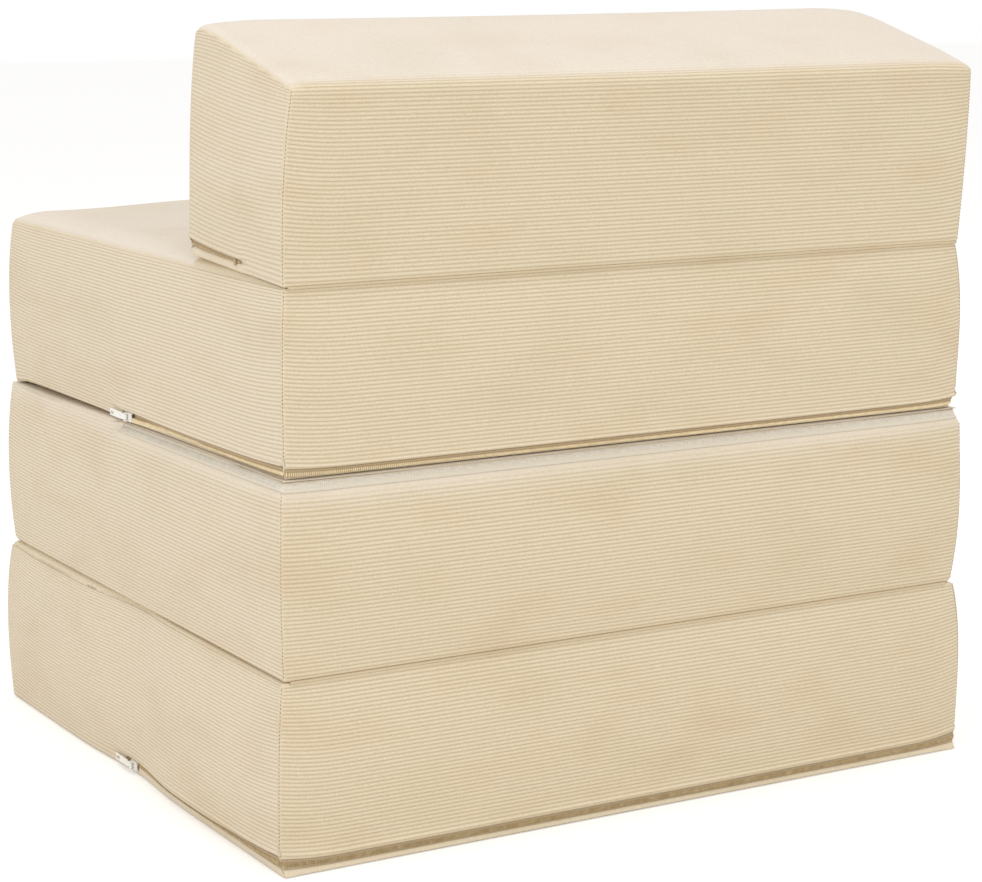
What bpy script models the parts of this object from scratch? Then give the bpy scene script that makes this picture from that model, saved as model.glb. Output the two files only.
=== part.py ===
"""Folding sofa bed: three foam slabs stacked in a Z fold under a wedge backrest.

Each block is a zipped fabric cover over a foam core. Fabric strips, sewn into the covers
along one edge, are the hinges: the stack opens into a bed three slabs long.
X runs left to right seen from the front, +Y to the back and +Z up. The origin is on the
floor, midway between the side seams and midway between the front and back seams.
"""

import math

import bmesh
import bpy
from mathutils import Matrix, Vector

MM = 0.001

# The blocks, measured between their seams
BED_WIDTH = 750 * MM
SLAB_DEPTH = 650 * MM
LAYER_HEIGHT = 174 * MM
BACKREST_FOOT_DEPTH = 190 * MM
BACKREST_TOP_DEPTH = 203.5 * MM
BACKREST_BACK_HEIGHT = 171.5 * MM
BACKREST_FRONT_HEIGHT = 212 * MM
BACKREST_LEAN = 15.5 * MM
BACKREST_FRONT_LIFT = 10.5 * MM

# How far the filled covers swell past their seams
SIDE_CROWN = 10 * MM
END_CROWN = 10 * MM
BACKREST_END_CROWN = 2 * MM
BACKREST_SIDE_CROWN = 6 * MM
SEAT_CROWN = 9 * MM
BACKREST_CROWN = 6 * MM
PLATEAU_POWER_SHARE = 8
SEAM_EDGE = 14 * MM
SEAM_BAND = 20 * MM
SHOULDER = 52 * MM
SEAM_CREASE_SHARE = 0.26
CORNER_CREASE_SHARE = 0.22

# Covers and foam
COVER_WALL = 1.5 * MM
FOAM_CLEARANCE = 0.5 * MM
LAYER_GAP = 0.6 * MM
FOLD_CLEARANCE = 0.3 * MM

# Zips: the opening in a cover, the tape that fills it and the chain on the tape
ZIP_LIP = 4.5 * MM
UPPER_ZIP_LIP = 6.5 * MM
ZIP_OPENING = 8 * MM
ZIP_SIDE_RUN = 355 * MM
BACKREST_ZIP_SIDE_RUN = 105 * MM
ZIP_CLEARANCE = 0.3 * MM
TAPE_THICKNESS = 1.2 * MM
CHAIN_WIDTH = 5 * MM
CHAIN_PROUD = 1.2 * MM
CHAIN_THICKNESS = 2.2 * MM
CHAIN_END_MARGIN = 2 * MM
CUTTER_OVERRUN = 30 * MM

# Sliders, pull tabs and end stops
SLIDER_LENGTH = 14 * MM
SLIDER_HEIGHT = 9 * MM
SLIDER_PLATE = 1.4 * MM
SLIDER_RUNNING_GAP = 0.6 * MM
SLIDER_SIDE_GAP = 0.5 * MM
SLIDER_LIP_DROP = 1.0 * MM
SLIDER_SETBACK = 21 * MM
EAR_LENGTH = 5 * MM
EAR_THICKNESS = 1.2 * MM
EAR_REACH = 3.2 * MM
EAR_OVERLAP = 0.6 * MM
PIN_RADIUS = 0.8 * MM
PIN_STANDOFF = 2.0 * MM
PIN_SETBACK = 1.5 * MM
EYE_WALL = 0.5 * MM
EYE_CLEARANCE = 0.3 * MM
TAB_LENGTH = 37 * MM
TAB_THICKNESS = 1.1 * MM
TAB_NECK_LENGTH = 9 * MM
TAB_HEIGHT = 7 * MM
TAB_HOLE_LENGTH = 7 * MM
TAB_HOLE_HEIGHT = 3 * MM
TAB_END_MARGIN = 2.5 * MM
STOP_LENGTH = 3 * MM
STOP_HEIGHT = 6.4 * MM
STOP_THICKNESS = 1.2 * MM
STOP_SETBACK = 6 * MM
STOP_GAP = 0.5 * MM
METAL_BEVEL = 0.35 * MM

# Hinge strips
STRIP_THICKNESS = 1.0 * MM
STRIP_WIDTH = 5 * MM
STRIP_END_MARGIN = 14 * MM
STRIP_BEVEL = 0.3 * MM

ROUND_SEGMENTS_SHARE = 16

HALF_WIDTH = BED_WIDTH / 2
HALF_DEPTH = SLAB_DEPTH / 2
SEAT_HEIGHT = 3 * LAYER_HEIGHT
BACKREST_FRONT = HALF_DEPTH - BACKREST_FOOT_DEPTH
FOLD_OFFSET = HALF_DEPTH + END_CROWN + FOLD_CLEARANCE


def linear(hex_colour):
    """The linear RGBA of an sRGB colour written as RRGGBB."""
    channels = [int(hex_colour[i : i + 2], 16) / 255 for i in (0, 2, 4)]
    return [c / 12.92 if c <= 0.04045 else ((c + 0.055) / 1.055) ** 2.4 for c in channels] + [1]


def make_material(name, hex_colour, roughness, metallic):
    """A Principled material in one plain colour."""
    material = bpy.data.materials.new(name)
    material.use_nodes = True
    shader = material.node_tree.nodes["Principled BSDF"]
    shader.inputs["Base Color"].default_value = linear(hex_colour)
    shader.inputs["Roughness"].default_value = roughness
    shader.inputs["Metallic"].default_value = metallic
    return material


class Zip:
    """Where a block's zip runs: from a seam corner along both sides, and across that end.

    along points from the corner into the side, rise from the seam into the block, both in
    the YZ plane. side is +1 or -1, the side face that carries the slider, and lip is the
    fabric between the seam and the opening.
    """

    def __init__(self, corner, along, rise, side_run, side, lip=ZIP_LIP):
        self.corner = Vector((0, *corner))
        self.along = Vector((0, *along)).normalized()
        self.rise = Vector((0, *rise)).normalized()
        self.side_run = side_run
        self.side = side
        self.chain_centre = lip + ZIP_OPENING / 2

    def frame(self):
        """The matrix from (across, along, rise) to the part's own axes."""
        columns = (Vector((1, 0, 0)), self.along, self.rise)
        return Matrix.Translation(self.corner) @ Matrix(columns).transposed().to_4x4()

    def fitting_matrix(self, distance, side):
        """A frame on the chain of one side face: X outward, -Y along, Z up or down."""
        place = self.frame() @ Vector((side * HALF_WIDTH, distance, self.chain_centre))
        outward = Vector((side, 0, 0))
        travel = -self.along
        columns = (outward, travel, outward.cross(travel))
        return Matrix.Translation(place) @ Matrix(columns).transposed().to_4x4()


class Block:
    """A cushion: four seam corners in the YZ plane, its swell, and its zip."""

    def __init__(self, name, corners, zip_run, swell, crown=None, extra_rows=()):
        self.name = name
        self.front_bottom, self.back_bottom, self.back_top, self.front_top = corners
        self.zip_run = zip_run
        self.side_swell, self.end_swell = swell
        self.crown = crown
        self.extra_rows = extra_rows

    def profile_point(self, back_share, top_share):
        """A point of the side profile, from 0 to 1 front to back and bottom to top."""
        bottom = Vector(self.front_bottom).lerp(Vector(self.back_bottom), back_share)
        top = Vector(self.front_top).lerp(Vector(self.back_top), back_share)
        return bottom.lerp(top, top_share), (top - bottom).length

    def place(self, share):
        """The cage point for a point of the unit cube, swollen past the seams."""
        side, back_share, top_share = share.x, share.y + 0.5, share.z + 0.5
        flat, height = self.profile_point(back_share, top_share)
        seam_distance = min(top_share, 1 - top_share) * height
        swell = min(max((seam_distance - SEAM_BAND) / (SHOULDER - SEAM_BAND), 0), 1)
        x, y, z = side * BED_WIDTH, flat.x, flat.y
        if on_face(side):
            x += math.copysign(self.side_swell * swell, side)
        if on_face(share.y):
            y += math.copysign(self.end_swell * swell, share.y)
        if top_share > 1 - FACE_SHARE and self.crown:
            z += self.crown(side, share.y, y)
        return Vector((x, y, z))


FACE_SHARE = 1e-5


def on_face(share):
    """Whether a unit-cube coordinate lies on the cube's face."""
    return abs(share) > 0.5 - FACE_SHARE


def plateau(share):
    """1 over most of a face, falling to 0 at its edges."""
    return 1 - abs(2 * share) ** PLATEAU_POWER_SHARE


def seat_crown(side, depth_share, y):
    """The seat's rise, pressed flat where the backrest stands on it."""
    free = SEAT_CROWN * plateau(side) * plateau(depth_share)
    if y <= BACKREST_FRONT + SEAM_EDGE:
        return free
    return min(free, BACKREST_FRONT_LIFT * (HALF_DEPTH - y) / BACKREST_FOOT_DEPTH)


def backrest_crown(side, depth_share, y):
    """The rise of the backrest's sloping top."""
    return BACKREST_CROWN * plateau(side) * (1 - abs(2 * depth_share) ** 2)


def slab(index, name, zip_run, crown=None, extra_rows=()):
    """One seat slab of the stack, counted from the floor."""
    low = index * LAYER_HEIGHT + (LAYER_GAP / 2 if index else 0)
    high = (index + 1) * LAYER_HEIGHT - LAYER_GAP / 2
    corners = ((-HALF_DEPTH, low), (HALF_DEPTH, low), (HALF_DEPTH, high), (-HALF_DEPTH, high))
    return Block(name, corners, zip_run, (SIDE_CROWN, END_CROWN), crown, extra_rows)


def slab_zip(height, rise, side, lip=ZIP_LIP):
    """A zip along a slab's back edge at one height, rising or falling into the slab."""
    return Zip((HALF_DEPTH, height), (-1, 0), (0, rise), ZIP_SIDE_RUN, side, lip)


def make_blocks():
    """The four blocks, from the floor up."""
    foot = (HALF_DEPTH, SEAT_HEIGHT + LAYER_GAP / 2)
    front_foot = (BACKREST_FRONT, SEAT_HEIGHT + BACKREST_FRONT_LIFT)
    back_top = (HALF_DEPTH + BACKREST_LEAN, foot[1] + BACKREST_BACK_HEIGHT)
    front_top = (back_top[0] - BACKREST_TOP_DEPTH, front_foot[1] + BACKREST_FRONT_HEIGHT)
    foot_line = Vector(foot) - Vector(front_foot)
    foot_rise = (-foot_line.y, foot_line.x)
    backrest_zip = Zip(front_foot, foot_line, foot_rise, BACKREST_ZIP_SIDE_RUN, -1)
    backrest_swell = (BACKREST_SIDE_CROWN, BACKREST_END_CROWN)
    wedge = (front_foot, foot, back_top, front_top)
    middle_top = 2 * LAYER_HEIGHT - LAYER_GAP / 2
    upper_foot = 2 * LAYER_HEIGHT + LAYER_GAP / 2
    upper_zip = slab_zip(upper_foot, 1, 1, UPPER_ZIP_LIP)
    return [
        slab(0, "base", slab_zip(0, 1, 1)),
        slab(1, "middle", slab_zip(middle_top, -1, -1)),
        slab(2, "upper", upper_zip, seat_crown, (BACKREST_FRONT,)),
        Block("backrest", wedge, backrest_zip, backrest_swell, backrest_crown),
    ]


def cut_loops(mesh, axis, shares):
    """Cuts an edge loop round the unit cube at each share of one axis."""
    normal = Vector([float(i == axis) for i in range(3)])
    for share in shares:
        everything = mesh.verts[:] + mesh.edges[:] + mesh.faces[:]
        bmesh.ops.bisect_plane(mesh, geom=everything, plane_co=normal * share, plane_no=normal)


def crease_seams(mesh):
    """Keeps the cube's twelve edges, which are the sewn seams, firmer than the faces."""
    layer = mesh.edges.layers.float.new("crease_edge")
    for edge in mesh.edges:
        start, end = (vertex.co for vertex in edge.verts)
        seam_axes = [i for i in range(3) if on_face(start[i]) and abs(start[i] - end[i]) < FACE_SHARE]
        if len(seam_axes) == 2:
            edge[layer] = SEAM_CREASE_SHARE if 2 in seam_axes else CORNER_CREASE_SHARE


def cage_mesh(block):
    """The block's coarse closed cage, with loops near its seams and at its shoulders."""
    depth = (Vector(block.back_bottom) - Vector(block.front_bottom)).length
    height = block.profile_point(0.5, 0)[1]
    mesh = bmesh.new()
    bmesh.ops.create_cube(mesh, size=1)
    side_loop = 0.5 - SEAM_EDGE / BED_WIDTH
    end_loop = 0.5 - SEAM_EDGE / depth
    cut_loops(mesh, 0, (-side_loop, 0, side_loop))
    rows = [(row + HALF_DEPTH) / SLAB_DEPTH - 0.5 for row in block.extra_rows]
    cut_loops(mesh, 1, (-end_loop, 0, end_loop, *rows))
    bands = [0.5 - distance / height for distance in (SEAM_BAND, SHOULDER)]
    cut_loops(mesh, 2, [sign * band for band in bands for sign in (-1, 1)])
    crease_seams(mesh)
    for vertex in mesh.verts:
        vertex.co = block.place(vertex.co)
    data = bpy.data.meshes.new(block.name + "_cage")
    mesh.to_mesh(data)
    mesh.free()
    data.shade_smooth()
    return data


def add_object(name, data, collection, material=None, parent=None):
    """A mesh object, kept where its mesh says when it hangs on an empty."""
    thing = bpy.data.objects.new(name, data)
    collection.objects.link(thing)
    if material:
        data.materials.clear()
        data.materials.append(material)
    if parent:
        thing.parent = parent
        thing.location = -parent.location
    return thing


def add_empty(name, location, collection):
    """An empty on a fold's axis."""
    empty = bpy.data.objects.new(name, None)
    empty.location = location
    collection.objects.link(empty)
    return empty


def box_mesh(name, low, high, matrix=Matrix()):
    """A closed box between two corners, carried over by a matrix."""
    mesh = bmesh.new()
    bmesh.ops.create_cube(mesh, size=1)
    low, high = Vector(low), Vector(high)
    size = Matrix.Diagonal((*(high - low), 1))
    mesh.transform(matrix @ Matrix.Translation((low + high) / 2) @ size)
    if matrix.determinant() < 0:
        bmesh.ops.reverse_faces(mesh, faces=mesh.faces)
    data = bpy.data.meshes.new(name)
    mesh.to_mesh(data)
    mesh.free()
    return data


def rod_mesh(name, radius, length, centre):
    """A closed cylinder along Z."""
    mesh = bmesh.new()
    bmesh.ops.create_cone(
        mesh,
        cap_ends=True,
        segments=ROUND_SEGMENTS_SHARE,
        radius1=radius,
        radius2=radius,
        depth=length,
        matrix=Matrix.Translation(centre),
    )
    data = bpy.data.meshes.new(name)
    mesh.to_mesh(data)
    mesh.free()
    return data


def add_cutter(name, data, cutters, parent=None):
    """A helper that the render and the part leave out."""
    cutter = bpy.data.objects.new(name, data)
    cutters.objects.link(cutter)
    cutter.parent = parent
    cutter.hide_render = True
    cutter.display_type = "WIRE"
    return cutter


def add_boolean(thing, operation, other):
    """An exact Boolean with another object."""
    modifier = thing.modifiers.new(operation.title(), "BOOLEAN")
    modifier.operation = operation
    modifier.solver = "EXACT"
    modifier.object = other


def add_smoothing(thing):
    """Rounds the cage once into the cushion's form."""
    modifier = thing.modifiers.new("Round", "SUBSURF")
    modifier.levels = 1
    modifier.render_levels = 1
    modifier.use_limit_surface = False


def add_offset(thing, distance):
    """Moves the whole surface out along its normals, or in where the distance is negative."""
    modifier = thing.modifiers.new("Offset", "DISPLACE")
    modifier.strength = distance
    modifier.mid_level = 0


def add_wall(thing, thickness):
    """Gives the surface a wall on its inner side."""
    modifier = thing.modifiers.new("Wall", "SOLIDIFY")
    modifier.thickness = thickness
    modifier.offset = -1


def add_bevel(thing, width):
    """Rounds a hard piece's edges."""
    modifier = thing.modifiers.new("Bevel", "BEVEL")
    modifier.width = width
    modifier.segments = 1
    modifier.limit_method = "ANGLE"


def zip_box(block, half_height, end_margin, cutters, name):
    """A cutter that meets the cover wherever the zip runs."""
    run = block.zip_run
    reach = HALF_WIDTH + CUTTER_OVERRUN
    low = (-reach, -CUTTER_OVERRUN, run.chain_centre - half_height)
    high = (reach, run.side_run - end_margin, run.chain_centre + half_height)
    return add_cutter(name, box_mesh(name, low, high, run.frame()), cutters)


def add_cover(block, parts, cutters, parent, material):
    """The sewn cover, open along its zip."""
    cover = add_object(block.name + "_cover", cage_mesh(block), parts, material, parent)
    add_smoothing(cover)
    add_wall(cover, COVER_WALL)
    slit = zip_box(block, ZIP_OPENING / 2, 0, cutters, block.name + "_slit")
    add_boolean(cover, "DIFFERENCE", slit)
    return cover


def add_foam(block, parts, parent, material):
    """The foam core, a little smaller than the inside of its cover."""
    foam = add_object(block.name + "_foam", cage_mesh(block), parts, material, parent)
    add_smoothing(foam)
    add_offset(foam, -COVER_WALL - FOAM_CLEARANCE)
    return foam


def add_zip(block, parts, cutters, parent, material):
    """The zip tape with its chain, following the cover round three sides."""
    chain = add_cutter(block.name + "_chain", cage_mesh(block), cutters)
    add_smoothing(chain)
    add_offset(chain, CHAIN_PROUD)
    add_wall(chain, CHAIN_THICKNESS)
    chain_box = zip_box(block, CHAIN_WIDTH / 2, CHAIN_END_MARGIN, cutters, block.name + "_chain_box")
    add_boolean(chain, "INTERSECT", chain_box)
    tape = add_object(block.name + "_zip", cage_mesh(block), parts, material, parent)
    add_smoothing(tape)
    add_offset(tape, -ZIP_CLEARANCE)
    add_wall(tape, TAPE_THICKNESS)
    half_height = ZIP_OPENING / 2 - ZIP_CLEARANCE
    tape_box = zip_box(block, half_height, ZIP_CLEARANCE, cutters, block.name + "_tape_box")
    add_boolean(tape, "INTERSECT", tape_box)
    add_boolean(tape, "UNION", chain)
    return tape


def hang(thing, parent, matrix):
    """Places a thing by a matrix in the part's own axes, under a fold's empty if it has one."""
    thing.parent = parent
    thing.matrix_basis = Matrix.Translation(-parent.location) @ matrix if parent else matrix


def add_zip_fittings(block, parts, cutters, parent, materials):
    """The slider, its pull tab and the two end stops."""
    run = block.zip_run
    carrier = bpy.data.objects.new(block.name + "_slider_carrier", None)
    parts.objects.link(carrier)
    hang(carrier, parent, run.fitting_matrix(run.side_run - SLIDER_SETBACK, run.side))
    add_slider(block.name, carrier, parts, cutters, materials["slider"])
    add_tab(block.name, carrier, parts, cutters, materials["slider"])
    for label, side in (("slider_side", run.side), ("far_side", -run.side)):
        name = f"{block.name}_{label}_stop"
        floor = CHAIN_PROUD + STOP_GAP
        low = (floor, -STOP_LENGTH / 2, -STOP_HEIGHT / 2)
        high = (floor + STOP_THICKNESS, STOP_LENGTH / 2, STOP_HEIGHT / 2)
        stop = add_object(name, box_mesh(name, low, high), parts, materials["slider"])
        hang(stop, parent, run.fitting_matrix(run.side_run - STOP_SETBACK, side))
        add_bevel(stop, METAL_BEVEL)


def slider_levels():
    """How far from the cover the slider's plate starts and ends, and its pin stands."""
    inner = CHAIN_PROUD + SLIDER_RUNNING_GAP
    outer = inner + SLIDER_PLATE
    return inner, outer, outer + PIN_STANDOFF


def add_slider(name, carrier, parts, cutters, material):
    """A plate with lips beside the chain, and two ears that hold the pin."""
    inner, outer, pin = slider_levels()
    name = name + "_slider"
    low = (inner - SLIDER_LIP_DROP, -SLIDER_LENGTH / 2, -SLIDER_HEIGHT / 2)
    high = (outer, SLIDER_LENGTH / 2, SLIDER_HEIGHT / 2)
    slider = add_object(name, box_mesh(name, low, high), parts, material)
    slider.parent = carrier
    add_bevel(slider, METAL_BEVEL)
    channel = CHAIN_WIDTH / 2 + SLIDER_SIDE_GAP
    low = (-CUTTER_OVERRUN, -CUTTER_OVERRUN, -channel)
    high = (inner, CUTTER_OVERRUN, channel)
    channel_box = box_mesh(name + "_channel", low, high)
    add_boolean(slider, "DIFFERENCE", add_cutter(name + "_channel", channel_box, cutters, carrier))
    for label, sign in (("upper", 1), ("lower", -1)):
        near = SLIDER_HEIGHT / 2 - EAR_THICKNESS - METAL_BEVEL
        span = sorted((sign * near, sign * (near + EAR_THICKNESS)))
        low = (outer - EAR_OVERLAP, -PIN_SETBACK - EAR_LENGTH / 2, span[0])
        high = (outer + EAR_REACH, -PIN_SETBACK + EAR_LENGTH / 2, span[1])
        ear = box_mesh(f"{name}_{label}_ear", low, high)
        add_boolean(slider, "UNION", add_cutter(f"{name}_{label}_ear", ear, cutters, carrier))
    length = SLIDER_HEIGHT - 2 * METAL_BEVEL - EAR_THICKNESS
    rod = rod_mesh(name + "_pin", PIN_RADIUS, length, (pin, -PIN_SETBACK, 0))
    add_boolean(slider, "UNION", add_cutter(name + "_pin", rod, cutters, carrier))


def add_tab(name, carrier, parts, cutters, material):
    """The pull tab, with its origin on the slider's pin."""
    pin = slider_levels()[2]
    name = name + "_pull_tab"
    axis = bpy.data.objects.new(name + "_axis", None)
    axis.parent = carrier
    axis.location = (pin, -PIN_SETBACK, 0)
    parts.objects.link(axis)
    neck = SLIDER_HEIGHT / 2 - EAR_THICKNESS - METAL_BEVEL - EYE_CLEARANCE
    hole = PIN_RADIUS + EYE_CLEARANCE
    eye = rod_mesh(name, hole + EYE_WALL, 2 * neck, (0, 0, 0))
    tab = add_object(name, eye, parts, material)
    tab.parent = axis
    half = TAB_THICKNESS / 2
    low, high = (-half, -TAB_NECK_LENGTH, -neck), (half, 0, neck)
    neck_box = box_mesh(name + "_neck", low, high)
    add_boolean(tab, "UNION", add_cutter(name + "_neck", neck_box, cutters, axis))
    low = (-half, -TAB_LENGTH, -TAB_HEIGHT / 2)
    high = (half, -TAB_NECK_LENGTH + TAB_THICKNESS, TAB_HEIGHT / 2)
    blade = add_cutter(name + "_blade", box_mesh(name + "_blade", low, high), cutters, axis)
    add_bevel(blade, METAL_BEVEL)
    add_boolean(tab, "UNION", blade)
    bore = rod_mesh(name + "_bore", hole, CUTTER_OVERRUN, (0, 0, 0))
    add_boolean(tab, "DIFFERENCE", add_cutter(name + "_bore", bore, cutters, axis))
    end = TAB_END_MARGIN - TAB_LENGTH
    low = (-TAB_THICKNESS, end, -TAB_HOLE_HEIGHT / 2)
    high = (TAB_THICKNESS, end + TAB_HOLE_LENGTH, TAB_HOLE_HEIGHT / 2)
    slot = box_mesh(name + "_slot", low, high)
    add_boolean(tab, "DIFFERENCE", add_cutter(name + "_slot", slot, cutters, axis))


def add_hinge_strip(name, edge, height, parts, material, parent):
    """A fabric strip in the groove between two blocks, along a front or back edge."""
    reach = HALF_WIDTH - STRIP_END_MARGIN
    low = (-reach, edge - STRIP_WIDTH / 2, height - STRIP_THICKNESS / 2)
    high = (reach, edge + STRIP_WIDTH / 2, height + STRIP_THICKNESS / 2)
    strip = add_object(name, box_mesh(name, low, high), parts, material, parent)
    add_bevel(strip, STRIP_BEVEL)


def new_collection(name):
    """A collection linked to the scene."""
    collection = bpy.data.collections.new(name)
    bpy.context.scene.collection.children.link(collection)
    return collection


def main():
    """Clears the scene and makes the sofa bed in it."""
    for thing in list(bpy.data.objects):
        bpy.data.objects.remove(thing)
    parts = new_collection("folding_sofa_bed")
    cutters = new_collection("cutters")
    materials = {
        "cover": make_material("cream_corduroy", "DFD1B1", 0.95, 0),
        "foam": make_material("foam", "EDE6C8", 1, 0),
        "zip": make_material("zip_tape", "D9CDB2", 0.9, 0),
        "slider": make_material("zip_metal", "EDEAE0", 0.35, 1),
        "strip": make_material("hinge_strip", "CDBD98", 0.95, 0),
    }
    folds = [
        None,
        add_empty("lower_fold_axis", (0, FOLD_OFFSET, LAYER_HEIGHT), parts),
        add_empty("upper_fold_axis", (0, -FOLD_OFFSET, 2 * LAYER_HEIGHT), parts),
        add_empty("backrest_fold_axis", (0, FOLD_OFFSET, SEAT_HEIGHT), parts),
    ]
    for block, fold in zip(make_blocks(), folds):
        add_cover(block, parts, cutters, fold, materials["cover"])
        add_foam(block, parts, fold, materials["foam"])
        add_zip(block, parts, cutters, fold, materials["zip"])
        add_zip_fittings(block, parts, cutters, fold, materials)
    strips = (
        ("base_middle_hinge", HALF_DEPTH, LAYER_HEIGHT, None),
        ("middle_upper_hinge", -HALF_DEPTH, 2 * LAYER_HEIGHT, folds[1]),
        ("upper_backrest_hinge", HALF_DEPTH, SEAT_HEIGHT, folds[2]),
    )
    for name, edge, height, fold in strips:
        add_hinge_strip(name, edge, height, parts, materials["strip"], fold)


main()
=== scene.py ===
"""Looks of a folding sofa bed: ribbed corduroy cushions, their zips and their fabric hinges."""

import logging
import math
from dataclasses import dataclass
from enum import IntEnum

import bmesh
import bpy
import numpy as np
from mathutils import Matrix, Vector


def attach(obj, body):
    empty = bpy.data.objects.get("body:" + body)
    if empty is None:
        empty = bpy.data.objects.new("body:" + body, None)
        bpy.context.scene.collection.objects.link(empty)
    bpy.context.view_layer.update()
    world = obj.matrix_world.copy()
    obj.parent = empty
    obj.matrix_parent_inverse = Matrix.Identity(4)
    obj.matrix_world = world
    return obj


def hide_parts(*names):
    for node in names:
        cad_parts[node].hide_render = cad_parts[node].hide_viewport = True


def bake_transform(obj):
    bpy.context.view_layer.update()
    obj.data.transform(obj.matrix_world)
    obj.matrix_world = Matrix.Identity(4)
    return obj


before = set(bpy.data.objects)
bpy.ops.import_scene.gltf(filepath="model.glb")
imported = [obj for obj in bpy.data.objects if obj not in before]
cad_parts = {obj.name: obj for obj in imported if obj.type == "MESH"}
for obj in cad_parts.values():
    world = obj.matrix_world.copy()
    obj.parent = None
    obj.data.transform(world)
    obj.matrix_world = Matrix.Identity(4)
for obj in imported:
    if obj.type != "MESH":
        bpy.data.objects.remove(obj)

log = logging.getLogger("sofa_bed")

MM = 0.001

# The stack of three equal slabs, and the wedge that stands on its back edge
BED_WIDTH = 750 * MM
SLAB_DEPTH = 650 * MM
LAYER_HEIGHT = 174 * MM
LAYER_GAP = 0.6 * MM
HALF_WIDTH = BED_WIDTH / 2
HALF_DEPTH = SLAB_DEPTH / 2
BACKREST_FOOT_DEPTH = 190 * MM
BACKREST_FRONT = HALF_DEPTH - BACKREST_FOOT_DEPTH
BACKREST_FRONT_LIFT = 10.5 * MM

# Where the sliders are parked along Y, how far those on the left side run, and how far from
# a slider the cover still lies flat
SLIDER_PLACE = -9 * MM
SLIDER_RUN = (-50 * MM, 262 * MM)
SLIDER_REACH = 70 * MM

# One rib of the corduroy: its places across and its height at each
RIB_PITCH = 3.7 * MM
RIB_HEIGHT = 0.65 * MM
RIB_PHASES = (0, 0.24, 0.5, 0.76)
RIB_RISES = (0, 0.66, 1, 0.66)

# How far ribs fade in from a seam, and the plain border before them on a level panel
RIB_END = 3 * MM
PLAIN_BORDER = 6 * MM

# The share of brushed pile and painted sheen on the side panels, the share of a rib's height that brushing
# takes, and how far below the top edge the pile is still worn and paled with painted sheen
SIDE_NAP_AND_SHEEN = 0.25
BRUSHED_SHARE = 0.6
WORN_AND_SHEEN_REACH = 32 * MM

# How a panel swells between its seams, and how much of that it keeps close to a zip
SWELL_POWER = 2.1
EDGE_FULLNESS = 0.6
EDGE_REACH = 80 * MM
BAND_MARGIN = 2 * MM
BAND_STEP = 6 * MM
BAND_POWER = 1.15

# How far from an upright corner the band across the ends and the side panels curl up
END_CURL_REACH = 60 * MM
SIDE_CURL_REACH = 85 * MM
CURL_POWER = 0.7

# The step down to a zip's tape, the folded hem beside it and the slit past the hem
ZIP_FADE = 18 * MM
CHANNEL_EDGE = 0.9 * MM
HEM_RISE = 1.2 * MM
HEM_WIDTH = 2 * MM
HEM_FALL = 4 * MM
SLIT_PLACE = 5 * MM
SLIT_REACH = 4.5 * MM
CORNER_STEPS = 4

# The dip along a side seam
SEAM_RECESS = 0.9 * MM
SEAM_RECESS_REACH = 1.6 * MM
SEAM_SINK = 0.6

# The seat's dome: its round ends and sides, where it leaves its rim, and where the backrest
# presses it down
DOME_END = 45 * MM
DOME_SIDE = 30 * MM
DOME_RIM = 60 * MM
DOME_SLOPE = 150 * MM
FOOT_MARGIN = 6 * MM
FOOT_BLEND = 45 * MM

# Where the foam gives: the low back edge, the left back corner, the backrest's top corners
# and the front end of the side seams
TOE_HEIGHT = 25 * MM
TOE_START = 200 * MM
TOE_REACH = 125 * MM
LEFT_START = 272 * MM
LEFT_REACH = 50 * MM
SAG_REACH = 55 * MM
FRONT_REACH = 45 * MM

# How far the crease under the upper slab rises at the back
CREASE_RISE = 6.5 * MM


def smooth(value: np.ndarray) -> np.ndarray:
    """A smooth ramp from 0 at 0 to 1 at 1."""
    held = np.clip(value, 0, 1)
    return held * held * (3 - 2 * held)


def linear(hex_colour: str) -> tuple[float, float, float, float]:
    """Turns an sRGB colour into the linear one that a shader takes.

    Args:
        hex_colour: The colour as RRGGBB.

    Returns:
        Linear red, green, blue and an alpha of 1.
    """
    channels = [int(hex_colour[i : i + 2], 16) / 255 for i in (0, 2, 4)]
    red, green, blue = (c / 12.92 if c <= 0.04045 else ((c + 0.055) / 1.055) ** 2.4 for c in channels)
    return red, green, blue, 1.0


def add_node(tree: bpy.types.NodeTree, kind: str, links: dict | None = None, **settings) -> bpy.types.Node:
    """Adds a shader node with its settings and links.

    Args:
        tree: The material's node tree.
        kind: Blender's name of the node type.
        links: An output socket or a plain value for each input's name or number.
        settings: Attributes of the node itself.

    Returns:
        The new node.
    """
    node = tree.nodes.new(kind)
    for name, value in settings.items():
        setattr(node, name, value)
    for key, value in (links or {}).items():
        if isinstance(value, bpy.types.NodeSocket):
            tree.links.new(value, node.inputs[key])
        else:
            node.inputs[key].default_value = value
    return node


def mix(
    tree: bpy.types.NodeTree, share: object, first: object, second: object, blend: str = "MIX"
) -> bpy.types.NodeSocket:
    """Mixes two colours.

    Args:
        tree: The material's node tree.
        share: How much of the second colour shows, as a socket or a number.
        first: The first colour, as a socket or a linear colour.
        second: The second colour, in the same way.
        blend: Blender's name of the way they mix.

    Returns:
        The mixed colour.
    """
    inputs = {0: share, 6: first, 7: second}
    return add_node(tree, "ShaderNodeMix", inputs, data_type="RGBA", blend_type=blend).outputs[2]


def ramp(
    tree: bpy.types.NodeTree,
    value: bpy.types.NodeSocket,
    low: float,
    high: float,
    to_low: float,
    to_high: float,
) -> bpy.types.NodeSocket:
    """Turns values between two limits into values between two others.

    Args:
        tree: The material's node tree.
        value: The value to turn.
        low: Its lower limit.
        high: Its upper limit.
        to_low: What the lower limit becomes.
        to_high: What the upper limit becomes.

    Returns:
        The new value.
    """
    inputs = {0: value, 1: low, 2: high, 3: to_low, 4: to_high}
    return add_node(tree, "ShaderNodeMapRange", inputs).outputs[0]


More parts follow.
